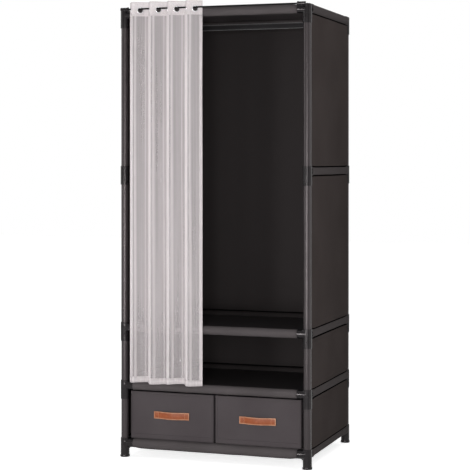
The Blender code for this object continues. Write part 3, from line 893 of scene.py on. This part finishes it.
# Top cover, shelves and base
# Cloth decks that hang between the front and rear rails. The front edge of each wraps its rail as
# a tunnel, and shows as a rounded band. The shelves and the base have a board sewn inside.
SLOT_DECK = "deck_cloth"
DECK_THICKNESS = 0.0030
DECK_STEP = 0.02
DECK_GAP = 0.0006
DECK_SAG = 0.0012
DECK_FADE = 0.06
DECK_WAVES = (4.0, 4.0)
DECK_DIP = 0.4
SHELF_SEED = 2.0
BASE_SEED = 5.0
BASE_DROOP = 0.0036
TOP_RISE = 0.0012
WRAP_STEPS = 28
WRAP_RIPPLE = 0.0007
# Where a tunnel starts and ends round its rail, from the rear over the top.
SHELF_WRAP = (radians(4), radians(356))
FRONT_WRAP = (radians(80), radians(436))
REAR_WRAP = (radians(100), radians(-256))
# Takes (outward, across, height) to a rail that runs along X.
ALONG_X = Matrix(((0, 1, 0, 0), (1, 0, 0, 0), (0, 0, 1, 0), (0, 0, 0, 1)))

deck_tones = ((0.068, 0.060, 0.061), (0.085, 0.075, 0.077))
deck_cloth = woven("deck_cloth", (0.075, 0.066, 0.068), 0.88, 0.05, 6.0, *deck_tones)
# A darker copy of the deck cloth for the shelf decks: painted shade on the shelf tops.
shelf_painted_shade_cloth = woven("shelf_painted_shade_cloth", (0.045, 0.040, 0.041), 0.9, 0.03)
deck_middle = middle_of("lower_rail_front").x
wrap_half = deck_middle + half_of("lower_rail_front").x - (arm_length - sleeve_radius)


def add_wrap(name, rail_node, wrap, slot, seed, rise=0.0, droop=0.0):
    """The tunnel round a front or rear rail. It may rise above the rail or droop below it."""
    rail = middle_of(rail_node)
    plane = Matrix.Translation((0, rail.y, rail.z)) @ ALONG_X
    turns = even_places(*wrap, WRAP_STEPS)
    shape = tunnel(plane, wrap_half, turns, seed, WRAP_RIPPLE, rise, droop)
    return add_cloth(name, shape, deck_cloth, slot, CLOTH)


def add_deck(name, node, z, thickness, finish, slot, wraps, seed, near=0.0):
    """A cloth deck at a height. The wraps it is given are not used."""
    half_x = posts["front_right"].x - sleeve_radius - DECK_GAP
    front = posts["front_right"].y + near
    rear = posts["rear_right"].y - near
    inner = sleeve_radius + DECK_GAP - near
    columns = spread(-half_x, half_x, DECK_STEP, (-wrap_half, wrap_half))
    rows = spread(front, rear, DECK_STEP, (front + inner, rear - inner))

    def place(i, j):
        x = columns[i]
        y = rows[j]
        edge = min(half_x - abs(x), y - rows[0], rows[-1] - y)
        lift = waves(DECK_WAVES, x, y, seed) - DECK_DIP
        height = z - thickness / 2 + DECK_SAG * lift * smooth_step(edge / DECK_FADE)
        return Vector((x, y, height)), (x, y)

    shape, spots = cloth_sheet(columns, rows, place)
    corners = []
    for face in shape.faces:
        x, y = flat_middle(face, spots)
        if abs(x) > wrap_half and min(y - front, rear - y) < inner:
            corners.append(face)
    bmesh.ops.delete(shape, geom=corners, context="FACES")
    piece = add_cloth(name, shape, finish, slot, thickness, node)


for level in ("lower", "upper"):
    rail = f"{level}_rail_front"
    wraps = [add_wrap(f"{level}_shelf_band", rail, SHELF_WRAP, SLOT_DECK, levels[level])]
    place = (levels[level], DECK_THICKNESS, shelf_painted_shade_cloth, SLOT_DECK, wraps)
    add_deck(f"{level}_deck", f"{level}_shelf", *place, SHELF_SEED, tunnel_radius)
for level, node, slot, thickness, rise, droop in (
    ("bottom", "base_deck", SLOT_DECK, DECK_THICKNESS, 0.0, BASE_DROOP),
    ("top", "top_cover", SLOT_COVER, CLOTH, TOP_RISE, 0.0),
):
    seed = levels[level]
    wraps = [
        add_wrap(
            f"{level}_front_band", f"{level}_rail_front", FRONT_WRAP, slot, seed, rise, droop
        ),
        add_wrap(f"{level}_rear_band", f"{level}_rail_rear", REAR_WRAP, slot, seed),
    ]
    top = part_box(node)[1].z
    add_deck(f"{level}_deck", node, top, thickness, deck_cloth, slot, wraps, BASE_SEED)

# Hanging rod and its brackets
# A thinner coated tube under the top cover. It rests in two black plastic brackets, which hook
# over the top side rails inside the cloth.
SLOT_ROD = "rod_steel"
BRACKET_ROUND = 0.0006
BRACKET_STEPS = 2
BRACKET_MERGE = 0.00001
BRACKET_FLAT = radians(0.5)
BRACKET_CREASE = radians(35)
FINE_GRAIN = 1200.0

rod_coat, tree, shader = new_finish("rod_coat", (0.012, 0.011, 0.012), 0.30, 0.02)
streaks = clouds(tree, from_object(tree, (0.1, 1.0, 1.0)), 90.0)
feed(tree, shader, {"Sheen Weight": 0.6, "Roughness": ranged(tree, streaks, 0.24, 0.38)})
relief(tree, shader, clouds(tree, from_object(tree), FINE_GRAIN, 2.0), 0.00004, 0.3)

node = "hanging_rod"
low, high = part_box(node)
place = (0, middle_of(node).y, middle_of(node).z)
mesh = moved(tube_mesh("X", half_of(node).z, low.x, high.x), place)
add_piece("hanging_rod_tube", mesh, rod_coat, SLOT_ROD, "frame", node)

for side in SIDES:
    node = f"rod_bracket_{side}"
    shape = bmesh.new()
    shape.from_mesh(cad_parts[node].data)
    bmesh.ops.remove_doubles(shape, verts=shape.verts, dist=BRACKET_MERGE)
    bmesh.ops.dissolve_limit(
        shape, angle_limit=BRACKET_FLAT, verts=shape.verts, edges=shape.edges, delimit=set()
    )
    round_edges(shape, creases(shape, BRACKET_CREASE), BRACKET_ROUND, BRACKET_STEPS)
    mesh = mesh_of(shape, node)
    add_piece(f"{side}_rod_bracket", mesh, plastic, SLOT_PLASTIC, "frame", node)

# Drawers
# Open boxes of stiff grey-brown cloth over boards. The front is one panel, sewn round its edge,
# with a deeper hem at its foot. They stand side by side on the base.
SLOT_DRAWER = "drawer_cloth"
DRAWER_WALL = 0.0040
DRAWER_CORNER = 0.006
DRAWER_CORNER_STEPS = 4
DRAWER_CREASE = radians(40)
DRAWER_STEP = 0.02
LID_FACING = 0.9
CUT_MERGE = 0.00001
FRONT_HEM = 0.008
FOOT_HEM_HEIGHT = 0.019
HEM_STEP = 0.0010
HEM_PROUD = 0.0013
FRONT_FACING = 0.99
FRONT_SKIN = 0.001
FRONT_SWELL = 0.0007
FRONT_SWELL_SHARE = 0.8
FRONT_SWELL_START = 0.004
FRONT_SWELL_RUN = 0.04
FRONT_WAVES = (7.0, 9.0)

drawer_cloth, tree, shader = new_finish("drawer_cloth", (0.078, 0.068, 0.071), 0.88, 0.05)
patchy(tree, shader, 7.0, (0.061, 0.052, 0.055), (0.074, 0.064, 0.067))
relief(tree, shader, clouds(tree, from_object(tree), 700.0, 2.0), 0.00025, 0.5)


def cut_across(shape, place, normal):
    """Split the faces along a plane."""
    geometry = shape.verts[:] + shape.edges[:] + shape.faces[:]
    bmesh.ops.bisect_plane(shape, geom=geometry, plane_co=place, plane_no=normal, dist=CUT_MERGE)


def drawer_shell(low, high):
    """The open box: a rounded block with its top taken off, cut in an even grid."""
    shape = bmesh.new()
    bmesh.ops.create_cube(shape, size=1.0)
    size = high - low
    bmesh.ops.scale(shape, vec=size, verts=shape.verts)
    bmesh.ops.translate(shape, verts=shape.verts, vec=(low + high) / 2)
    lid = [face for face in shape.faces if face.normal.z > LID_FACING]
    bmesh.ops.delete(shape, geom=lid, context="FACES")
    uprights = []
    base = []
    for edge in shape.edges:
        first, second = (vertex.co.z for vertex in edge.verts)
        if abs(first - second) > size.z / 2:
            uprights.append(edge)
        elif not edge.is_boundary and first < low.z + size.z / 2 > second:
            base.append(edge)
    round_edges(shape, uprights + base, DRAWER_CORNER, DRAWER_CORNER_STEPS)
    for axis in range(3):
        inner = high[axis] - low[axis] - 2 * DRAWER_CORNER
        count = int(inner / DRAWER_STEP)
        normal = Vector([float(k == axis) for k in range(3)])
        for place in even_places(DRAWER_CORNER, DRAWER_CORNER + inner, count):
            cut_across(shape, low + normal * place, normal)
    return shape


def add_drawer(side):
    """A drawer, whose front stands a little behind its sewn edge and bulges softly."""
    node = f"drawer_{side}"
    low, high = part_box(node)
    shape = drawer_shell(low, high)
    for step in (0.0, HEM_STEP):
        cut_across(shape, (low.x + FRONT_HEM + step, 0, 0), (1, 0, 0))
        cut_across(shape, (high.x - FRONT_HEM - step, 0, 0), (1, 0, 0))
        cut_across(shape, (0, 0, low.z + FOOT_HEM_HEIGHT + step), (0, 0, 1))
        cut_across(shape, (0, 0, high.z - FRONT_HEM - step), (0, 0, 1))
    shape.normal_update()
    for vertex in shape.verts:
        point = vertex.co
        if abs(vertex.normal.y) > FRONT_FACING and point.y < low.y + FRONT_SKIN:
            left, right = point.x - low.x, high.x - point.x
            under, over = point.z - low.z, high.z - point.z
            swell = waves(FRONT_WAVES, point.x, point.z, low.x * 10)
            share = (min(left, right, under, over) - FRONT_SWELL_START) / FRONT_SWELL_RUN
            point.y += FRONT_SWELL * smooth_step(share) * (FRONT_SWELL_SHARE + swell)
            inside = min(min(left, right, over) - FRONT_HEM, under - FOOT_HEM_HEIGHT)
            point.y += HEM_PROUD * (inside > HEM_STEP / 2)
    mesh = mesh_of(shape, node)
    name = f"{side}_drawer"
    crease = DRAWER_CREASE
    box = add_piece(name, mesh, drawer_cloth, SLOT_DRAWER, node, node, smooth_angle=crease)
    walls = box.modifiers.new("walls", "SOLIDIFY")
    walls.thickness = DRAWER_WALL
    walls.offset = -1.0


for side in SIDES:
    add_drawer(side)

# Straps
# A strip of tan leather on each drawer, sewn down at both ends and bowed between them. Its border
# is paler in soft patches, its cut edges are painted dark, which also stands in as painted shade
# along the strap's outline, and a box of pale thread holds each end.
SLOT_LEATHER = "strap_leather"
STRAP_THICKNESS = 0.0024
STRAP_TAB = 0.022
STRAP_STEPS = 28
STRAP_CREASE = radians(60)
STRAP_ROUND = 0.0005
STRAP_ROUND_STEPS = 2
STITCH_INSET = 0.0035
STITCH_PITCH = 0.0034
STITCH_LENGTH = 0.0018
THREAD = 0.0007
PALE_BORDER_WIDTH = 0.0055
PALE_BORDER_SHARE = 0.95
# A face is a cut edge where it looks this much up or down, or to either end.
EDGE_UP = 0.5
EDGE_ALONG = 0.8

leather, tree, shader = new_finish("tan_leather", (0.25, 0.072, 0.024), 0.42, 0.28)
place = from_object(tree)
hide = clouds(tree, place, 90.0, 4.0, 0.6)
dark_hide, mid_hide, pale_hide = (0.20, 0.044, 0.011), (0.25, 0.060, 0.017), (0.30, 0.080, 0.025)
dyed = tones(tree, hide, (0.2, dark_hide), (0.5, mid_hide), (0.8, pale_hide))
strap_half = half_of("drawer_handle_left")
strap_place = add_node(tree, "UVMap", {}, uv_map="strap")["UV"]
from_middle = add_node(tree, "VectorMath", {0: strap_place}, operation="ABSOLUTE")[0]
strap_edge = {0: from_middle, 1: (strap_half.x, strap_half.z, 0)}
past_edge = add_node(tree, "VectorMath", strap_edge, operation="SUBTRACT")[0]
past = add_node(tree, "SeparateXYZ", {"Vector": past_edge})
# The leather turns paler towards its border, in soft patches.
border = {
    "Value": combined(tree, "MAXIMUM", past["X"], past["Y"]),
    "From Min": -PALE_BORDER_WIDTH,
    "From Max": -PALE_BORDER_WIDTH / 3,
    "To Max": PALE_BORDER_SHARE,
}
pale_border = add_node(tree, "MapRange", border, interpolation_type="SMOOTHSTEP")["Result"]
pale_patches = combined(tree, "MULTIPLY", pale_border, ranged(tree, clouds(tree, place, 45.0), -0.1, 1.7))
border_toned = add_node(tree, "MixRGB", {"Fac": pale_patches, "Color1": dyed, "Color2": (0.43, 0.22, 0.130, 1.0)})
feed(tree, shader, {"Base Color": border_toned["Color"], "Roughness": ranged(tree, hide, 0.36, 0.56)})
pores = add_node(tree, "TexVoronoi", {"Vector": place, "Scale": 900.0})["Distance"]
relief(tree, shader, pores, 0.00012, 0.5)

# Dark paint on the strap's cut edges, also standing in as painted shade for its dark outline.
edge_paint_and_shade, _, _ = new_finish("edge_paint_and_shade", (0.032, 0.014, 0.008), 0.5, 0.2)
thread, _, _ = new_finish("strap_thread", (0.46, 0.25, 0.14), 0.7, 0.1)


def stitched_box(middle, wide, tall, front):
    """Stitches round a rectangle on a strap's end, as short bars on its face."""
    shape = bmesh.new()
    across = round(wide / STITCH_PITCH)
    up = round(tall / STITCH_PITCH)
    places = []
    for step in range(across):
        x = middle.x + wide * ((step + 0.5) / across - 0.5)
        places += [(x, middle.z - tall / 2, 1, 0), (x, middle.z + tall / 2, 1, 0)]
    for step in range(up):
        z = middle.z + tall * ((step + 0.5) / up - 0.5)
        places += [(middle.x - wide / 2, z, 0, 1), (middle.x + wide / 2, z, 0, 1)]
    for x, z, flat, upright in places:
        made = bmesh.ops.create_cube(shape, size=1.0)["verts"]
        size = (THREAD + flat * STITCH_LENGTH, THREAD, THREAD + upright * STITCH_LENGTH)
        bmesh.ops.scale(shape, vec=size, verts=made)
        bmesh.ops.translate(shape, verts=made, vec=(x, front, z))
    return closed_mesh(shape)


def add_strap(side):
    """A bowed leather strap on its drawer."""
    node = f"drawer_handle_{side}"
    low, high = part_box(node)
    middle = (low + high) / 2
    half = (high.x - low.x) / 2
    grip = half - STRAP_TAB
    bow = high.y - low.y - STRAP_THICKNESS
    line = [(-half, 0.0), (-half + STRAP_TAB / 2, 0.0)]
    for share in even_places(0.0, 1.0, STRAP_STEPS):
        line.append((grip * (2 * share - 1), bow * sin(pi * share)))
    line += [(half - STRAP_TAB / 2, 0.0), (half, 0.0)]
    back = [(x, -out) for x, out in line]
    front = [(x, y - STRAP_THICKNESS) for x, y in reversed(back)]
    mesh = slab(back + front, low.z - middle.z, high.z - middle.z)
    mesh.transform(Matrix.Rotation(-QUARTER, 4, "X"))
    mesh.transform(Matrix.Translation((middle.x, high.y, middle.z)))
    shape = bmesh.new()
    shape.from_mesh(mesh)
    round_edges(shape, creases(shape, STRAP_CREASE), STRAP_ROUND, STRAP_ROUND_STEPS)
    mesh = mesh_of(shape, node)
    add_piece(f"{side}_strap", mesh, leather, SLOT_LEATHER, f"drawer_{side}", node)
    mesh.materials.append(edge_paint_and_shade)
    flat = mesh.uv_layers.new(name="strap").data
    for polygon in mesh.polygons:
        if abs(polygon.normal.z) > EDGE_UP or abs(polygon.normal.x) > EDGE_ALONG:
            polygon.material_index = 1
        for loop in polygon.loop_indices:
            point = mesh.vertices[mesh.loops[loop].vertex_index].co - middle
            flat[loop].uv = (point.x, point.z)
    boxes = []
    wide = STRAP_TAB - 2 * STITCH_INSET
    tall = high.z - low.z - 2 * STITCH_INSET
    for way in (-1, 1):
        tab = Vector((middle.x + way * (half - STRAP_TAB / 2), 0, middle.z))
        boxes.append(stitched_box(tab, wide, tall, high.y - STRAP_THICKNESS))
    add_piece(f"{side}_strap_stitches", joined_mesh(boxes), thread, SLOT_LEATHER, f"drawer_{side}")


for side in SIDES:
    add_strap(side)

# Curtain rod
# A thin steel rod with a black coat, which runs across the front of the wardrobe.
# Its ends sit in the bosses of the two front caps.
black_coat, tree, shader = new_finish("black_coat", (0.006, 0.006, 0.006), 0.38, 0.04)
relief(tree, shader, clouds(tree, from_object(tree), FINE_GRAIN, 2.0), 0.00003, 0.2)

low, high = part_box("curtain_rod")
mesh = moved(bar("X", rod_radius, low.x, high.x), (0, rod_middle.y, rod_middle.z))
add_piece("curtain_rod_bar", mesh, black_coat, SLOT_ROD, "frame", "curtain_rod")

# Curtain
# White voile, sheer, gathered in pleats on eight eyelets. The heading is doubled over a stiff
# band, and the sides and the foot are hemmed, so these show whiter than the single cloth.
SLOT_CURTAIN = "curtain_cloth"
VOILE = 0.0005
VOILE_PITCH = 0.0012
VOILE_DEPTH = 0.0001
VOILE_STRENGTH = 0.3
LAYER_GAP = 0.0007
EYELET_COUNT = 8
EYELET_PITCH = 0.03675
RING_HOLE = 0.0108
CURTAIN_MARGIN = 0.0172
FOLD_LEAN = 0.5
FOLD_DEPTH = 0.013
FOLD_DRIFT = 0.004
LOOSE_FROM = 0.02
LOOSE_RUN = 0.25
SMALL_FOLD = 0.12
SMALL_START = 0.9
SMALL_TURN = 1.3
SWAY = 0.14
SWAY_WAVES = (60.0, 2.2)
HEM_WAVE = 0.0025
HEADING_BELOW = 0.0226
SIDE_HEM = 0.011
FOOT_HEM = 0.016
COLUMNS_PER_PITCH = 26
HEADING_ROWS = 18
CURTAIN_ROWS = 60
WALL_DENSITY = 0.25
PLEAT_DENSITY = 0.37
PLEAT_SOFT = 0.12
# Lines by the fold edges, where the cloth turns edge-on: partly a painted highlight.
LINE_HIGHLIGHT_DENSITY = 0.21
LINE_WIDTH = 0.11
SECOND_HIGHLIGHT_DENSITY = 0.14
SECOND_WIDTH = 0.07
LINE_SHARE = 0.69
STREAK_DENSITY = 0.05
STREAK_WAVES = (500.0, 1.7)
CLOUD_DENSITY = 0.04
CLOUD_WAVES = (40.0, 2.5)
UPPER_DENSITY = 0.06
UPPER_END = 0.94
UPPER_FADE = 0.2
HEM_DENSITY = 0.47
HEADING_DENSITY = 0.53
HEADING_SPECKLE = 0.16
SPECKLE_WAVES = (420.0, 420.0)
RUN_PLAY = 0.000001

curtain_low, curtain_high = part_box("curtain")
lead_middle = middle_of("lead_eyelet")
lead_x = EYELET_PITCH * (EYELET_COUNT - 1)
first_x = lead_middle.x - lead_x
eyelet_z = lead_middle.z
drop = curtain_high.z - HEM_WAVE - curtain_low.z - HEM_WAVE
heading_share = (curtain_high.z - eyelet_z + HEADING_BELOW) / drop


def fold(x, share):
    """Where the cloth stands, x past the first eyelet and a share down: along, and behind."""
    drift = FOLD_DRIFT * share * sin(pi * x / (EYELET_PITCH * EYELET_COUNT))
    main = sin(pi * (x + drift) / EYELET_PITCH)
    loose = smooth_step((share - LOOSE_FROM) / LOOSE_RUN)
    along = 3 * pi * (x + 2 * drift) / EYELET_PITCH
    small = SMALL_FOLD * sin(along + SMALL_START + SMALL_TURN * share)
    sway = SWAY * waves(SWAY_WAVES, x, share, 3.0)
    behind = -FOLD_DEPTH * min(1.0, max(-1.0, main + loose * (small + sway)))
    return x + FOLD_LEAN * behind, behind


def curtain_point(x, share, forward):
    """A point of the curtain, at x past the first eyelet and a share of the way down."""
    hem = HEM_WAVE * share * sin(pi * x / EYELET_PITCH / 2)
    along, behind = fold(x, share)
    height = curtain_high.z - drop * share + hem
    return Vector((first_x + along, rod_middle.y + behind - forward, height))


span = lead_x + 2 * CURTAIN_MARGIN
column_count = round(span / EYELET_PITCH * COLUMNS_PER_PITCH)
curtain_columns = even_places(-CURTAIN_MARGIN, lead_x + CURTAIN_MARGIN, column_count)
curtain_rows = even_places(0.0, heading_share, HEADING_ROWS)[:-1]
curtain_rows += even_places(heading_share, 1.0, CURTAIN_ROWS)
curtain_run = [0.0]
for before, after in zip(curtain_columns, curtain_columns[1:]):
    step = curtain_point(after, 0.5, 0.0) - curtain_point(before, 0.5, 0.0)
    curtain_run.append(curtain_run[-1] + step.length)

voile, tree, shader = new_finish("white_voile", (0.86, 0.80, 0.81), 0.75, 0.1)
weave(tree, shader, VOILE_PITCH, VOILE_DEPTH, VOILE_STRENGTH)
sheer = add_node(tree, "Attribute", {}, attribute_name="sheer")["Fac"]
feed(tree, shader, {"Alpha": sheer})


def density(x, share):
    """How dense the sheer cloth looks. The steep pleat walls and two lines by each fold's edges are
    denser, for cloth seen edge-on, and the lines are partly a painted highlight.
    """
    pleat = (x / EYELET_PITCH + 1) % 2 - 1
    steep = smooth_step((0.5 - abs(pleat)) / PLEAT_SOFT)
    line = max(0.0, 1 - abs(pleat - LINE_SHARE) / LINE_WIDTH)
    second = max(0.0, 1 - abs(pleat + LINE_SHARE) / SECOND_WIDTH)
    value = WALL_DENSITY + PLEAT_DENSITY * steep + LINE_HIGHLIGHT_DENSITY * line + SECOND_HIGHLIGHT_DENSITY * second
    value += STREAK_DENSITY * waves(STREAK_WAVES, x, share, 5.0)
    value += CLOUD_DENSITY * waves(CLOUD_WAVES, x, share, 8.0)
    return value + UPPER_DENSITY * smooth_step((UPPER_END - share) / UPPER_FADE)


def add_curtain_layer(name, keep, forward, even_density, *nodes):
    """The curtain's cloth, or the part of it that keep(run, share) allows, set forward a little."""

    def place(i, j):
        point = curtain_point(curtain_columns[i], curtain_rows[j], forward)
        return point, (curtain_run[i], -drop * curtain_rows[j])

    shape, spots = cloth_sheet(curtain_columns, curtain_rows, place, "sheer")
    dense = shape.verts.layers.float["sheer"]
    for vertex, (run, down) in spots.items():
        if even_density is None:
            x = curtain_columns[bisect_left(curtain_run, run - RUN_PLAY)]
            vertex[dense] = density(x, -down / drop)
        else:
            speckle = waves(SPECKLE_WAVES, run, down, 2.0)
            vertex[dense] = even_density + HEADING_SPECKLE * speckle
    gone = []
    for face in shape.faces:
        middle = face.calc_center_median()
        run, down = flat_middle(face, spots)
        number = round((middle.x - first_x) / EYELET_PITCH)
        eyelet = Vector((first_x + number * EYELET_PITCH, rod_middle.y, eyelet_z))
        ring = 0 <= number < EYELET_COUNT and (middle - eyelet).length < RING_HOLE
        if ring or not keep(run, -down / drop):
            gone.append(face)
    bmesh.ops.delete(shape, geom=gone, context="FACES")
    return add_cloth(name, shape, voile, SLOT_CURTAIN, VOILE, *nodes, body="curtain")


def in_heading(run, share):
    """Whether a place is in the doubled heading."""
    return share < heading_share


def in_side_hem(run, share):
    """Whether a place is in a side hem, under the heading."""
    return share > heading_share and not SIDE_HEM < run < curtain_run[-1] - SIDE_HEM


def in_foot_hem(run, share):
    """Whether a place is in the hem at the foot."""
    return share > 1 - FOOT_HEM / drop


curtain = add_curtain_layer("sheer_curtain", lambda run, share: True, 0.0, None, "curtain")
hems = [
    add_curtain_layer("curtain_heading", in_heading, LAYER_GAP, HEADING_DENSITY),
    add_curtain_layer("curtain_side_hems", in_side_hem, LAYER_GAP, HEM_DENSITY),
    add_curtain_layer("curtain_foot_hem", in_foot_hem, 2 * LAYER_GAP, HEM_DENSITY),
]

# Eyelets
# Pressed rings of bright nickel, one in each pleat wall of the heading. The cloth is caught between
# the two halves of a ring, and the rod runs through it.
SLOT_EYELET = "eyelet_metal"
EYELET_BORE = 0.0092
EYELET_OUTER = 0.0130
EYELET_THICKNESS = 0.0028
EYELET_ARC = 8

nickel, tree, shader = new_finish("nickel", (0.62, 0.61, 0.62), 0.22, metallic=1.0)
place = from_object(tree)
feed(tree, shader, {"Roughness": ranged(tree, clouds(tree, place, 300.0), 0.16, 0.28)})
relief(tree, shader, clouds(tree, place, 2500.0, 2.0), 0.00003, 0.3)


def add_eyelet(name, number, body, *nodes):
    """A ring with a rounded face on both sides, turned to lie in its pleat's wall."""
    middle = (EYELET_BORE + EYELET_OUTER) / 2
    half = (EYELET_OUTER - EYELET_BORE) / 2
    rings = []
    for turn in even_places(0.0, tau, 2 * EYELET_ARC)[:-1]:
        rings.append((middle + half * cos(turn), EYELET_THICKNESS / 2 * sin(turn)))
    mesh = turned(rings, ring_shaped=True)
    mesh.transform(AXIS_TURN["Y"])
    slope = -FOLD_DEPTH * pi / EYELET_PITCH * cos(pi * number)
    place = (first_x + EYELET_PITCH * number, rod_middle.y, eyelet_z)
    moved(mesh, place, atan2(slope, 1 + FOLD_LEAN * slope))
    return add_piece(name, mesh, nickel, SLOT_EYELET, body, *nodes)


eyelets = []
for number in range(EYELET_COUNT - 1):
    eyelets.append(add_eyelet(f"curtain_eyelet_{number + 1}", number, "curtain"))
lead_ring = add_eyelet("leading_eyelet", EYELET_COUNT - 1, "curtain_lead", "lead_eyelet")

for soft in [curtain, *hems]:
    bpy.context.view_layer.objects.active = soft
    for modifier in list(soft.modifiers):
        with bpy.context.temp_override(object=soft, active_object=soft):
            bpy.ops.object.modifier_apply(modifier=modifier.name)
for soft in [curtain, *hems, *eyelets]:
    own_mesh(soft)
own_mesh(lead_ring)
